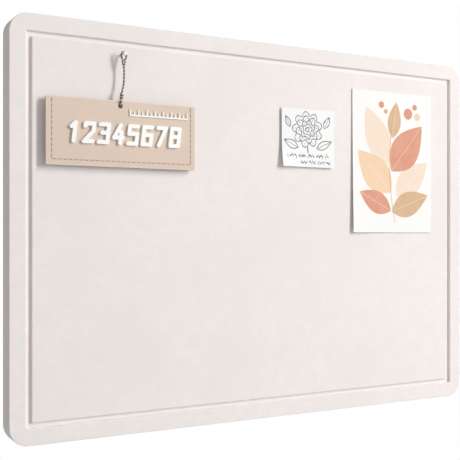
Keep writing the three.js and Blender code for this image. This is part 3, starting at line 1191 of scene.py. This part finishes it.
@dataclass
class Twine:
    """Two-ply twine: the eye round the pin, its knot, the strand and the knot behind the tag."""

    out: float = 33.1
    radius: float = 1.0
    ply_radius: float = 0.62
    ply_reach: float = 0.48
    ply_sides: int = 10
    strand_pitch: float = 3.7
    eye_pitch: float = 3.2
    knot_steps: int = 72
    knot_drop: float = 9.4
    knot_reach: Triple = (1.35, 1.35, 1.65)
    stop_out: float = 26.8
    stop_reach: Triple = (2.2, 0.3, 2.2)
    tail: tuple[Triple, ...] = ((1.4, 0.1, -1.2), (2.2, 0.0, -3.4), (2.0, 0.2, -6.2))
    eye_spacing: float = 0.3
    strand_spacing: float = 0.35
    eye_route: tuple[Triple, ...] = (
        (-0.6, -8.4, 0.3), (-1.15, -6.4, 0.0), (-1.7, -5.2, 0.0), (-2.45, -3.2, 0.0),
        (-2.7, -0.8, 0.0), (-1.8, 1.35, 0.0), (0.1, 2.15, 0.0), (2.0, 1.35, 0.0), (2.9, -0.8, 0.0),
        (2.65, -3.2, 0.0), (1.85, -5.2, 0.0), (1.3, -6.4, 0.0), (0.7, -8.4, -0.3),
    )
    strand_route: tuple[Triple, ...] = (
        (0.0, -10.6, 0.0), (0.1, -12.2, 0.0), (0.3, -16.0, 0.0), (0.42, -21.5, 0.05),
        (0.2, -27.3, 0.2), (-0.35, -31.9, 0.4), (-1.3, -36.1, 0.65), (-2.35, -40.7, 0.9),
        (-3.05, -45.0, 1.08), (-3.4, -48.5, 1.14), (-3.5, -50.55, 1.1), (-3.5, -52.12, 0.79),
        (-3.5, -53.45, -0.1), (-3.5, -54.34, -1.43), (-3.5, -54.65, -3.0), (-3.5, -54.65, -3.9),
        (-3.5, -54.65, -4.7), (-3.5, -54.65, -5.8),
    )
    whipping: Pair = (-41.5, -48.4)
    whipping_pitch: float = 2.6
    whipping_reach: float = 1.4
    dark: Ply = Ply("twine_dark_ply", paint(0.035, 0.02, 0.014), paint(0.12, 0.08, 0.06))
    light: Ply = Ply("twine_light_ply", paint(0.6, 0.49, 0.43), paint(0.84, 0.77, 0.72))

    def line(self, route: Iterable[Triple], spacing: float) -> list[Vector]:
        """Returns the smooth line of a route given from the pin."""
        points = [at(PIN_X + x, self.out + out, PIN_Z + z) for x, z, out in route]
        return smooth_line(points, spacing)

    def plies(
        self, mould: Mould, line: Sequence[Vector], pitch: float, reach: float | None = None
    ) -> None:
        """Lays two plies that twist round a line.

        Args:
            mould: The mould that gets them.
            line: The twine's middle, in metres.
            pitch: The length of a whole twist, in millimetres.
            reach: The distance from the line to a ply's middle; the twine's own where it is None.
        """
        reach = reach or self.ply_reach
        directions = frames(line)
        for slot in range(2):
            run, path = 0.0, []
            for number, (point, (side, up)) in enumerate(zip(line, directions)):
                run += (point - line[number - 1]).length / MM if number else 0.0
                angle = TURN * (run / pitch + slot / 2)
                path.append(point + (side * math.cos(angle) + up * math.sin(angle)) * (reach * MM))
            mould.tube(path, [self.ply_radius] * len(path), self.ply_sides, slot)

    def knot_line(self, x: float, out: float, z: float, reach: Triple) -> list[Vector]:
        """Returns the closed path of an overhand knot, drawn tight round its middle.

        Args:
            x: The middle's place across.
            out: Its distance from the wall.
            z: Its height.
            reach: How far the path goes from the middle across, out and up.

        Returns:
            The path's points.
        """
        found = []
        for number in range(self.knot_steps + 1):
            t = TURN * number / self.knot_steps
            # An overhand knot's path, brought to a reach of about 1 each way
            across = (math.sin(t) + 2 * math.sin(2 * t)) / 2.7
            up = (math.cos(t) - 2 * math.cos(2 * t)) / 3
            deep = -math.sin(3 * t)
            found.append(at(x + across * reach[0], out + deep * reach[1], z + up * reach[2]))
        return found

    def make(self) -> None:
        """Builds the twine's five pieces."""
        x, z = TWINE_HOLE
        tail = [at(x + across, self.stop_out + out, z + up) for across, out, up in self.tail]
        tail_line = smooth_line(tail, self.eye_spacing)
        eye_line = self.line(self.eye_route, self.eye_spacing)
        line = self.line(self.strand_route, self.strand_spacing)
        top, bottom = ((PIN_Z + height) * MM for height in self.whipping)
        held = [point for point in line if bottom < point.z < top]
        upper = self.knot_line(PIN_X, self.out, PIN_Z - self.knot_drop, self.knot_reach)
        lower = self.knot_line(x, self.stop_out, z, self.stop_reach)
        # Each piece's name, body and node, and the line, pitch and reach of its plies
        plan = (
            ("twine_loop", Body.LOOP, ["twine_eye"], [(eye_line, self.eye_pitch)]),
            ("twine_upper_knot", Body.LOOP, ["twine_knot"], [(upper, self.eye_pitch)]),
            (
                "twine_lower_knot",
                Body.TAG,
                ["twine_stop_knot"],
                [(lower, self.eye_pitch), (tail_line, self.strand_pitch)],
            ),
            ("twine_whipping", Body.TAG, [], [(held, self.whipping_pitch, self.whipping_reach)]),
            ("twine_hanging_strand", Body.TAG, ["twine_strand"], [(line, self.strand_pitch)]),
        )
        finish = [self.dark.material(), self.light.material()]
        for name, body, nodes, runs in plan:
            mould = Mould(name)
            for run in runs:
                self.plies(mould, *run)
            put(mould.done(SOFT), body, finish, nodes)
        sum((b - a).length for a, b in zip(line, line[1:]))
        2 * self.radius * MM


@dataclass
class FeltBoard:
    """The pressed felt: back sheet, core sheet, border and centre panel."""

    width: float = 599.4
    height: float = 434.3
    corner: float = 20.0
    back_front: float = 12.2
    core_back: float = 12.25
    core_front: float = 21.35
    face_back: float = 21.4
    face_front: float = FACE_FRONT
    border: float = 17.8
    groove: float = 5.3
    outer_round: float = 0.8
    inner_round: float = 1.4
    back_round: float = 1.2
    groove_round: float = 0.6
    foot_round: float = 0.15
    seam_round: float = 0.35
    inner_corner: float = 0.7
    pocket: Triple = (48.8, 26.8, 4.0)
    pocket_floor: float = 4.4
    pocket_flare: float = 0.5
    room: Triple = (12.0, 23.0, 4.5)
    room_rise: float = 1.0
    room_floor: float = 8.9
    bore: float = 1.8
    bore_start: float = 1.0
    bore_floor: float = 10.7
    pin_bore: float = 1.0
    pin_floor: float = 14.0
    # How the foot of a hollow is eased, and how the pin's hole widens at its mouth
    foot_ease: tuple[Pair, ...] = ((0.0, 0.3), (0.1, 0.08), (0.3, 0.0))
    mouth_ease: tuple[Pair, ...] = ((0.0, -0.7), (0.12, -0.3), (0.45, 0.0), (0.7, 1.0))
    front_felt: Felt = Felt(
        "felt_front", paint(0.905, 0.844, 0.82), paint(0.852, 0.794, 0.765), paint(0.93, 0.89, 0.87)
    )
    # The core and back felts are lighter and pinker than the front felt as painted light: the lighter
    # core lifts the shade on the groove floor, and the pinker tone paints the warm shade on the board's
    # sides
    core_felt: Felt = Felt(
        "felt_core", paint(0.935, 0.872, 0.845), paint(0.9, 0.83, 0.8), paint(0.95, 0.905, 0.88), 0.04
    )
    back_felt: Felt = Felt(
        "felt_back", paint(0.94, 0.86, 0.82), paint(0.905, 0.82, 0.775), paint(0.95, 0.9, 0.87), 0.04
    )

    def outline(self) -> Outline:
        """Returns the board's own outline."""
        return Outline(self.width, self.height, self.corner, steps=24)

    def opening(self, inset: float) -> Outline:
        """Draws a nearly square-cornered outline inside the board's sides.

        Args:
            inset: The distance from the board's sides.

        Returns:
            The outline.
        """
        width, height = self.width - 2 * inset, self.height - 2 * inset
        return Outline(width, height, self.inner_corner, steps=24)

    def hollow(self, name: str, shape: Outline, floor: float, flare: float) -> bpy.types.Object:
        """Shapes a cutter for a hollow in the back.

        Args:
            name: The cutter's name.
            shape: The hollow's outline.
            floor: The distance of its floor from the wall.
            flare: The width of its eased rim.

        Returns:
            The cutter.
        """
        rim = [(-flare * (1 - math.sin(a)), flare * 1.4 * (1 - math.cos(a))) for a in quarter(4)]
        foot = [(inset, floor - rise) for inset, rise in self.foot_ease]
        return Mould(name).slab(shape, [(-flare, -2.0), *rim, *foot]).done()

    def make_back(self, felt: bpy.types.Material) -> None:
        """Builds the back sheet with its two hanger seats.

        Args:
            felt: The sheet's finish.
        """
        profile = slab_profile(0.0, self.back_front, self.back_round, self.seam_round)
        sheet = Mould("felt_back").slab(self.outline(), profile).done()
        cutters = []
        for side in (-1, 1):
            x = side * HANGER_X
            seat = Outline(*self.pocket, x, HANGER_Z)
            room = Outline(*self.room, x, HANGER_Z + self.room_rise)
            cutters.append(self.hollow("seat", seat, self.pocket_floor, self.pocket_flare))
            cutters.append(self.hollow("room", room, self.room_floor, 0.0))
            bore = [(self.bore, self.bore_start), (self.bore, self.bore_floor)]
            for end in (-1, 1):
                place = x + end * SCREW_X
                cutters.append(Mould("bore").turned(bore, place, HANGER_Z, 16).done())
        nodes = ["upper", "left", "seat_left", "middle", "seat_right", "right", "lower"]
        sheet = carve(sheet, cutters)
        put(sheet, Body.BOARD, [felt], [f"back_{node}" for node in nodes])

    def pin_hole(self, mouth: float) -> bpy.types.Object:
        """Shapes a cutter for the pin's hole, which opens softly.

        Args:
            mouth: The distance from the wall of the face that it opens at.

        Returns:
            The cutter.
        """
        profile = [(self.pin_bore * 0.3, self.pin_floor), (self.pin_bore, self.pin_floor + 2)]
        profile += [(self.pin_bore + wide, mouth + out) for wide, out in self.mouth_ease]
        return Mould("pin_hole").turned(profile, PIN_X, PIN_Z, 20).done()

    def make_core(self, felt: bpy.types.Material) -> None:
        """Builds the core sheet, which shows at the side and as the floor of the groove.

        Args:
            felt: The sheet's finish.
        """
        profile = slab_profile(self.core_back, self.core_front, self.seam_round, self.seam_round)
        sheet = Mould("felt_core").slab(self.outline(), profile).done()
        sheet = carve(sheet, [self.pin_hole(self.core_front + 2)])
        put(sheet, Body.BOARD, [felt], ["core_sheet"])

    def make_border(self, felt: bpy.types.Material) -> None:
        """Builds the border as one ring with a soft front.

        Args:
            felt: The sheet's finish.
        """
        outer, inner = self.outline(), self.opening(self.border)
        rise = round_over(self.seam_round, self.face_back, 1, 3)
        fall = round_over(self.outer_round, self.face_front, -1)
        outside = [(self.seam_round + HOLD, self.face_back), *rise, *fall[::-1]]
        outside.append((self.outer_round + HOLD, self.face_front))
        rings = [outer.ring(inset, out) for inset, out in outside]
        inside = [(self.inner_round + HOLD, self.face_front)]
        inside += round_over(self.inner_round, self.face_front, -1)
        inside += [(0.0, self.face_back + 0.2), (0.4, self.face_back)]
        rings += [inner.ring(-inset, out) for inset, out in inside]
        mould = Mould("felt_border")
        mould.skin(rings, closed=True)
        nodes = [f"border_{side}" for side in ("top", "left", "bottom", "right")]
        put(mould.done(), Body.BOARD, [felt], nodes)

    def make_panel(self, felt: bpy.types.Material) -> None:
        """Builds the centre panel with the pin's hole.

        Args:
            felt: The sheet's finish.
        """
        profile = slab_profile(self.face_back, self.face_front, self.foot_round, self.groove_round)
        panel = Mould("felt_panel").slab(self.opening(self.border + self.groove), profile).done()
        panel = carve(panel, [self.pin_hole(self.face_front)])
        put(panel, Body.BOARD, [felt], ["centre_panel"])

    def make(self) -> None:
        """Builds the four sheets."""
        front = self.front_felt.material()
        self.make_back(self.back_felt.material())
        self.make_core(self.core_felt.material())
        self.make_border(front)
        self.make_panel(front)


@dataclass
class Hangers:
    """The keyhole plates in the back and their cross-head screws."""

    plate_bevel: float = 0.25
    head_radius: float = 3.2
    crown: float = 1.0
    under_head: float = 2.8
    shank: float = 1.5
    root: float = 1.12
    tip: float = 10.4
    thread_pitch: float = 1.3
    point: float = 2.4
    cross: float = 1.9
    cross_width: float = 0.36
    cross_corner: float = 0.15
    cross_taper: tuple[Pair, ...] = ((-0.12, -0.6), (0.0, 0.5), (0.22, 1.2))
    steel: Steel = Steel("zinc_plate")
    screw_steel: Steel = Steel("screw_steel", paint(0.66, 0.66, 0.67), 0.24)

    def screw(self, name: str, x: float) -> bpy.types.Object:
        """Builds a pan-head screw, whose head is nearest the wall.

        Args:
            name: The screw's name.
            x: Its place across.

        Returns:
            The screw.
        """
        rim = self.head_radius
        rise = self.under_head - self.crown
        profile = [
            (rim * math.sin(a) + 0.001, self.crown + rise * 0.72 * (1 - math.cos(a)) ** 1.3)
            for a in quarter(9)
        ]
        profile += [(rim, self.under_head - 0.12), (rim - 0.15, self.under_head)]
        profile.append((self.shank, self.under_head))
        out = self.under_head + 0.6
        while out < self.tip - self.point:
            profile += [(self.shank, out), (self.root, out + 0.3 * self.thread_pitch)]
            out += self.thread_pitch
            profile.append((self.root, out - 0.25 * self.thread_pitch))
        profile += [(self.shank * 0.8, out), (self.root * 0.6, out + 0.7), (0.05, self.tip)]
        body = Mould(name).turned(profile, x, HANGER_Z).done(30)
        cutters = []
        for across, up in ((self.cross, self.cross_width), (self.cross_width, self.cross)):
            arm = Outline(2 * across, 2 * up, self.cross_corner, x, HANGER_Z, 3)
            taper = [(inset, self.crown + out) for inset, out in self.cross_taper]
            cutters.append(Mould("recess").slab(arm, taper).done())
        return carve(body, cutters)

    def make(self) -> None:
        """Builds the four screws and finishes the two plates."""
        plate, bright = self.steel.material(), self.screw_steel.material()
        for side, name in ((-1, "left"), (1, "right")):
            redress(f"hanger_plate_{name}", plate, self.plate_bevel)
            for end, letter in ((-1, "a"), (1, "b")):
                screw = self.screw(f"screw_{name}_{letter}", side * HANGER_X + end * SCREW_X)
                node = f"hanger_screw_{name}_{letter}"
                put(screw, Body.BOARD, [bright], [node])


@dataclass
class Pin:
    """The pin that carries the tag: a steel needle with a white head."""

    tip: float = 14.3
    tip_length: float = 3.0
    radius: float = 0.9
    head_base: float = 35.3
    head_top: float = 37.6
    head_radius: float = 2.1
    head_side: float = 0.75
    # Radii and distances from the needle's tip and from the head's base
    point: tuple[Pair, ...] = ((0.04, 0.0), (0.15, 0.15), (0.55, 1.5))
    foot: tuple[Pair, ...] = ((0.02, 0.0), (1.5, 0.0), (1.95, 0.08), (2.1, 0.25))
    steel: Steel = Steel("pin_steel", paint(0.7, 0.7, 0.7), 0.18)
    plastic: Plastic = Plastic("pin_plastic", roughness=0.28, coat_weight=0.3)

    def make(self) -> None:
        """Builds the needle and the head."""
        needle = [(radius, self.tip + out) for radius, out in self.point]
        needle += [(self.radius, self.tip + self.tip_length), (self.radius, self.head_base - 0.05)]
        shank = Mould("pin_needle").turned(needle, PIN_X, PIN_Z, 24).done()
        put(shank, Body.PIN, [self.steel.material()], ["pin_shank"])
        rim = self.head_base + self.head_side
        rise = self.head_top - self.head_base - self.head_side
        head = [(radius, self.head_base + out) for radius, out in self.foot]
        head.append((self.head_radius, rim - 0.2))
        dome = self.head_radius - 0.06
        head += [(dome * math.cos(a), rim + rise * math.sin(a)) for a in quarter(8)[:-1]]
        head.append((0.02, self.head_top))
        cap = Mould("pin_cap").turned(head, PIN_X, PIN_Z).done(50)
        put(cap, Body.PIN, [self.plastic.material()], ["pin_head"])


@dataclass
class Tag:
    """The hanging tag: two leathers sewn round a stiffener, with raised figures and a scale."""

    width: float = 167.1
    height: float = 69.5
    corner: float = 1.6
    x: float = -181.3
    z: float = 100.1
    back: float = 28.4
    back_front: float = 29.7
    front_back: float = 31.3
    front: float = 32.6
    edge: float = 0.4
    inner_edge: float = 0.15
    inner_hold: float = 0.8
    hole_radius: float = 2.4
    hole_ease: float = 0.3
    stitch_inset: float = 5.8
    stitch_top: float = 1.6
    stitch_pitch: float = 5.7
    stitch_length: float = 3.5
    stitch_sink: float = 0.55
    stitch_shape: tuple[Triple, ...] = (
        (0.0, -0.45, 0.35), (0.12, 0.1, 0.85), (0.35, 0.5, 1.0),
        (0.65, 0.5, 1.0), (0.88, 0.1, 0.85), (1.0, -0.45, 0.35),
    )
    thread: float = 0.36
    groove_depth: float = 0.3
    groove_width: float = 1.5
    figures: int = 8
    figure_bevel: float = 0.3
    fine_bevel: float = 0.12
    thread_finish: Thread = Thread("tag_thread")
    board_finish: Cardboard = Cardboard("tag_board")
    white: Plastic = Plastic("raised_white", paint(0.955, 0.95, 0.94), paint(0.93, 0.92, 0.9), 0.42)

    def outline(self) -> Outline:
        """Returns the tag's outline."""
        return Outline(self.width, self.height, self.corner, self.x, self.z, 6)

    def leather(self, name: str, face: float, inner: float) -> bpy.types.Object:
        """Returns one leather.

        Args:
            name: The piece's name.
            face: The distance out of the side that shows.
            inner: The distance out of the side against the stiffener.

        Returns:
            The leather, with a pressed line round it and the hole for the twine.
        """
        inward = 1 if inner > face else -1
        profile = [(self.edge + HOLD, face), *round_over(self.edge, face, inward)]
        profile += round_over(self.inner_edge, inner, -inward, 3)[::-1]
        profile.append((self.inner_hold, inner))
        sheet = Mould(name).slab(self.outline(), profile).done()
        low, high = sorted((face, inner))
        radius, ease = self.hole_radius, self.hole_ease
        mouth = [(radius + 2 * ease, low - 1), (radius + ease, low), (radius, low + ease)]
        mouth += [(radius, high - ease), (radius + ease, high), (radius + 2 * ease, high + 1)]
        cutters = [Mould("hole").turned(mouth, *TWINE_HOLE).done()]
        radius = self.groove_width / 2
        out = face - inward * (radius - self.groove_depth)
        for x, z, right, up, length in self.rows():
            line = [at(x + right * run, out, z + up * run) for run in (0.0, length)]
            cutters.append(Mould("press").tube(line, [radius] * 2, sides=16).done(60))
        return carve(sheet, cutters)

    def rows(self) -> tuple[tuple[float, float, int, int, float], ...]:
        """Places the rows of stitches.

        Returns:
            Each row's start across and up, its direction and its length.
        """
        half_x = self.width / 2 - self.stitch_inset
        low = self.z - self.height / 2 + self.stitch_inset
        rise = self.height - self.stitch_inset - self.stitch_top
        return (
            (self.x - half_x, low, 1, 0, 2 * half_x),
            (self.x - half_x, low, 0, 1, rise),
            (self.x + half_x, low, 0, 1, rise),
        )

    def stitches(self, name: str, face: float, outward: int) -> bpy.types.Object:
        """Returns the row of stitches on one side of the tag.

        Args:
            name: The piece's name.
            face: The distance out of that side.
            outward: 1 where the side faces the front, and -1 where it faces the wall.

        Returns:
            The stitches.
        """
        mould = Mould(name)
        base = self.groove_depth * self.stitch_sink
        for x, z, right, up, length in self.rows():
            count = round(length / self.stitch_pitch)
            for number in range(count):
                start = (number + 0.5) * length / count - self.stitch_length / 2
                line, radii = [], []
                for share, rise, girth in self.stitch_shape:
                    run = start + share * self.stitch_length
                    out = face + outward * (self.thread * rise - base)
                    line.append(at(x + right * run, out, z + up * run))
                    radii.append(self.thread * girth)
                mould.tube(line, radii)
        return mould.done(SOFT)

    def make(self) -> None:
        """Builds the leathers and their stitches, and finishes the tag's other layers."""
        finish = Leather(
            "tag_leather", self.width, self.height, (self.x, self.z), self.stitch_inset
        ).material()
        thread = self.thread_finish.material()
        sides = (("front", self.front, self.front_back, 1), ("back", self.back, self.back_front, -1))
        for side, face, inner, _ in sides:
            sheet = self.leather(f"leather_{side}", face, inner)
            put(sheet, Body.TAG, [finish], [f"tag_{side}_leather"])
        for side, face, _, outward in sides:
            put(self.stitches(f"tag_stitches_{side}", face, outward), Body.TAG, [thread])
        redress("tag_stiffener", self.board_finish.material(), self.fine_bevel)
        white = self.white.material()
        for number in range(self.figures):
            redress(f"tag_figure_{number + 1}", white, self.figure_bevel)
        redress("tag_scale", white, self.fine_bevel)


@dataclass
class HungSheet:
    """A sheet that is stuck to the board along its top and hangs free below a crease."""

    name: str
    flap: Body
    slot: Slot
    finish: type[SheetFinish]
    nodes: tuple[str, str]
    x: float
    top: float
    width: float
    height: float
    thickness: float
    out: float
    stuck: float
    lift: float
    flat_share: float
    corner_lift: float
    corner_bend: float
    sag: float = 0.12
    columns: int = 24
    leaf_rows: int = 26
    stuck_shares: tuple[float, ...] = (0.0, 0.33, 0.66, 0.9)
    crease_rows: range = range(-1, 12)
    crease_spacing: float = 0.4
    blend_reach: Pair = (0.2, 3.4)

    def rows(self) -> list[float]:
        """Spaces the sheet's rows, close together at the crease.

        Returns:
            Their distances below the top edge.
        """
        found = [self.stuck * share for share in self.stuck_shares]
        found += [self.stuck + self.crease_spacing * step for step in self.crease_rows]
        start, steps = found[-1], self.leaf_rows
        return found + [
            start + (self.height - start) * step / steps for step in range(1, steps + 1)
        ]

    def rise(self, across: float, down: float) -> float:
        """Returns how far out the back of the sheet lies.

        Args:
            across: The share of the width from the left edge.
            down: The distance below the top edge.

        Returns:
            The distance from the wall.
        """
        share = max(0.0, (down - self.stuck) / (self.height - self.stuck))
        bend = max(0.0, (share - self.flat_share) / (1 - self.flat_share))
        corner = self.corner_lift * (1 - across) ** 5 * bend**self.corner_bend
        sag = self.sag * self.lift * math.sin(math.pi * across) * bend
        return self.out + self.lift * bend * bend + corner - sag

    def make(self) -> None:
        """Builds the sheet as one piece, flat above its crease and curled below it."""
        mould = Mould(self.name)
        uv = mould.faces.loops.layers.uv.verify()
        rows = self.rows()
        grid = {}
        for side, offset in ((0, 0.0), (1, self.thickness)):
            for row, down in enumerate(rows):
                for column in range(self.columns + 1):
                    share = column / self.columns
                    place = at(
                        self.x + (share - 0.5) * self.width,
                        self.rise(share, down) + offset,
                        self.top - down,
                    )
                    grid[side, row, column] = mould.faces.verts.new(place)

        def face(*corners: tuple[int, int, int]) -> None:
            """Adds one face between corners of the grid."""
            made = mould.faces.faces.new([grid[corner] for corner in corners])
            for loop, (_, row, column) in zip(made.loops, corners):
                loop[uv].uv = (column / self.columns, 1 - rows[row] / self.height)

        last = len(rows) - 1
        for row in range(last):
            for column in range(self.columns):
                for side in (0, 1):
                    corners = ((row, column), (row + 1, column), (row + 1, column + 1), (row, column + 1))
                    face(*((side, *corner) for corner in corners))
            for column in (0, self.columns):
                face((0, row, column), (0, row + 1, column), (1, row + 1, column), (1, row, column))
        for column in range(self.columns):
            for row in (0, last):
                face((0, row, column), (0, row, column + 1), (1, row, column + 1), (1, row, column))
        piece = mould.done(50)
        piece.data.materials.append(self.finish(self.slot.value, self.width, self.height).material())
        hinge = self.top - self.stuck
        out = self.out + self.thickness / 2
        above, below = self.blend_reach
        start, end = at(self.x, out, hinge + above), at(self.x, out, hinge - below)
        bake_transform(piece)
        register(piece, self.nodes)


@dataclass
class FoamPads:
    """The adhesive pads behind the note and the card."""

    back: float = FACE_FRONT + BOND
    corner: float = 0.8
    hold: float = 1.2
    bulge: float = 0.08
    shares: tuple[float, ...] = (0.0, 0.1, 0.3, 0.5, 0.7, 0.9, 1.0)
    finish: Foam = Foam("foam_pad")
    pads: tuple[tuple[str, str, float, float, float, float, float], ...] = (
        ("foam_behind_note", "note_pad", 55.5, 136.2, 60.0, 12.0, 2.1),
        ("foam_behind_card_left", "card_pad_left", 137.5, 167.6, 20.0, 11.0, 0.8),
        ("foam_behind_card_right", "card_pad_right", 231.9, 167.6, 20.0, 11.0, 0.8),
    )

    def make(self) -> None:
        """Builds the pads, whose cut sides bulge a little."""
        material = self.finish.material()
        for name, node, x, z, width, height, thickness in self.pads:
            front, bulge = self.back + thickness, self.bulge * thickness
            side = [
                (bulge * (1 - math.sin(math.pi * share)), self.back + share * thickness)
                for share in self.shares
            ]
            profile = [(self.hold, self.back), *side, (self.hold, front)]
            outline = Outline(width, height, self.corner, x, z, 5)
            pad = Mould(name).slab(outline, profile).done(60)
            put(pad, Body.BOARD, [material], [node])


@dataclass
class Studio:
    """The camera, the lights, the white surroundings and the floor."""

    place: Triple = (-0.51965, -0.8712, -0.0072)
    turn: float = -29.04
    lens: float = 66.99
    sensor: float = 36.0
    clip: Pair = (0.01, 50.0)
    shift: float = 0.01435
    sky: float = 0.46
    sky_right: float = 0.12
    sky_low: float = 0.3
    key_power: float = 98.0
    key_distance: float = 3.5
    key_from: Triple = (0.56, -0.67, 0.34)
    key_width: float = 0.6
    key_height: float = 2.5
    floor_drop: float = 1.6
    floor_radius: float = 1.8
    floor_sides: int = 96
    floor_white: float = 0.75
    floor_colours: tuple[Colour, Colour] = (paint(0.82, 0.81, 0.8), paint(0.78, 0.77, 0.76))

    def make_camera(self) -> None:
        """Sets the camera at the photograph's place."""
        data = bpy.data.cameras.new("camera")
        data.lens, data.sensor_width, data.shift_y = self.lens, self.sensor, self.shift
        data.clip_start, data.clip_end = self.clip
        camera = bpy.data.objects.new("camera", data)
        camera.location = self.place
        camera.rotation_euler = (math.radians(90), 0.0, math.radians(self.turn))
        bpy.context.scene.collection.objects.link(camera)
        bpy.context.scene.camera = camera

    def make_light(self) -> None:
        """Hangs one tall soft lamp to the right, in surroundings brighter to the right and below."""
        data = bpy.data.lights.new("key", "AREA")
        data.shape, data.energy = "RECTANGLE", self.key_power
        data.size, data.size_y = self.key_width, self.key_height
        lamp = bpy.data.objects.new("key", data)
        away = Vector(self.key_from).normalized()
        lamp.location = away * self.key_distance + at(0.0, FACE_FRONT, 0.0)
        lamp.rotation_mode = "QUATERNION"
        lamp.rotation_quaternion = away.to_track_quat("Z", "Y")
        bpy.context.scene.collection.objects.link(lamp)
        world = bpy.data.worlds.new("surroundings")
        world.use_nodes = True
        bpy.context.scene.world = world
        shader = Shader(world.node_tree)
        seen = self.seen(shader)
        right, _, up = shader.axes(shader.node("ShaderNodeTexCoord", output="Generated"))
        glow = (right * self.sky_right - up * self.sky_low + 1) * self.sky
        strength = (1 - seen) * glow + seen
        inputs = {"Color": paint(1.0, 1.0, 1.0), "Strength": strength}
        back = shader.node("ShaderNodeBackground", inputs=inputs)
        shader.finish(back, "ShaderNodeOutputWorld")

    def seen(self, shader: Shader) -> Wire:
        """Returns 1 for rays from the camera, mirrors and glass, and 0 for light on surfaces."""
        path = shader.node("ShaderNodeLightPath", output="Is Camera Ray")
        return path.most(path.other("Is Glossy Ray")).most(path.other("Is Transmission Ray"))

    def make_floor(self) -> None:
        """Lays the pale floor under the wall that the board hangs on."""
        mould = Mould("floor")
        radius, drop = self.floor_radius, self.floor_drop
        angles = circle(self.floor_sides)
        edge = [Vector((radius * math.cos(a), radius * math.sin(a), -drop)) for a in angles]
        mould.faces.faces.new(mould.ring(edge))
        floor = mould.done()
        material = bpy.data.materials.new("floor")
        material.use_nodes = True
        shader = Shader(material.node_tree)
        cloud = shader.noise(shader.place(), 6.0, 3.0)
        colour = shader.mix(cloud * 0.4, *self.floor_colours)
        matt = shader.node("ShaderNodeBsdfDiffuse", inputs={"Color": colour})
        white = shader.node("ShaderNodeEmission", inputs={"Strength": 1.0})
        both = {0: self.seen(shader) * self.floor_white, 1: matt, 2: white}
        shader.finish(shader.node("ShaderNodeMixShader", inputs=both))
        floor.data.materials.append(material)

    def make(self) -> None:
        """Builds the studio."""
        self.make_camera()
        self.make_light()
        self.make_floor()
        bpy.context.scene.view_settings.view_transform = "Standard"


def note() -> HungSheet:
    """Describes the square note.

    Returns:
        The note.
    """
    return HungSheet(
        name="paper_note",
        flap=Body.NOTE_FLAP,
        slot=Slot.NOTE_PAPER,
        finish=InkedNote,
        nodes=("note_top", "note_leaf"),
        x=55.5,
        top=144.2,
        width=74.6,
        height=68.9,
        thickness=0.3,
        out=26.8,
        stuck=16.0,
        lift=1.2,
        flat_share=0.2,
        corner_lift=3.0,
        corner_bend=2.5,
    )


def card() -> HungSheet:
    """Describes the printed card.

    Returns:
        The card.
    """
    return HungSheet(
        name="print_card",
        flap=Body.CARD_FLAP,
        slot=Slot.CARD_STOCK,
        finish=PrintedCard,
        nodes=("card_top", "card_leaf"),
        x=184.7,
        top=174.6,
        width=126.4,
        height=176.5,
        thickness=0.5,
        out=25.5,
        stuck=14.0,
        lift=0.2,
        flat_share=0.0,
        corner_lift=2.6,
        corner_bend=1.5,
    )


def main() -> None:
    """Builds the studio and every sub-assembly in turn."""
    logging.basicConfig(level=logging.INFO, format="%(name)s: %(message)s")
    Studio().make()
    for assembly in (Twine(), FeltBoard(), Hangers(), Pin(), Tag(), FoamPads(), note(), card()):
        LOG.info("making %s", type(assembly).__name__)
        assembly.make()
    bpy.context.view_layer.update()


if __name__ == "__main__":
    main()
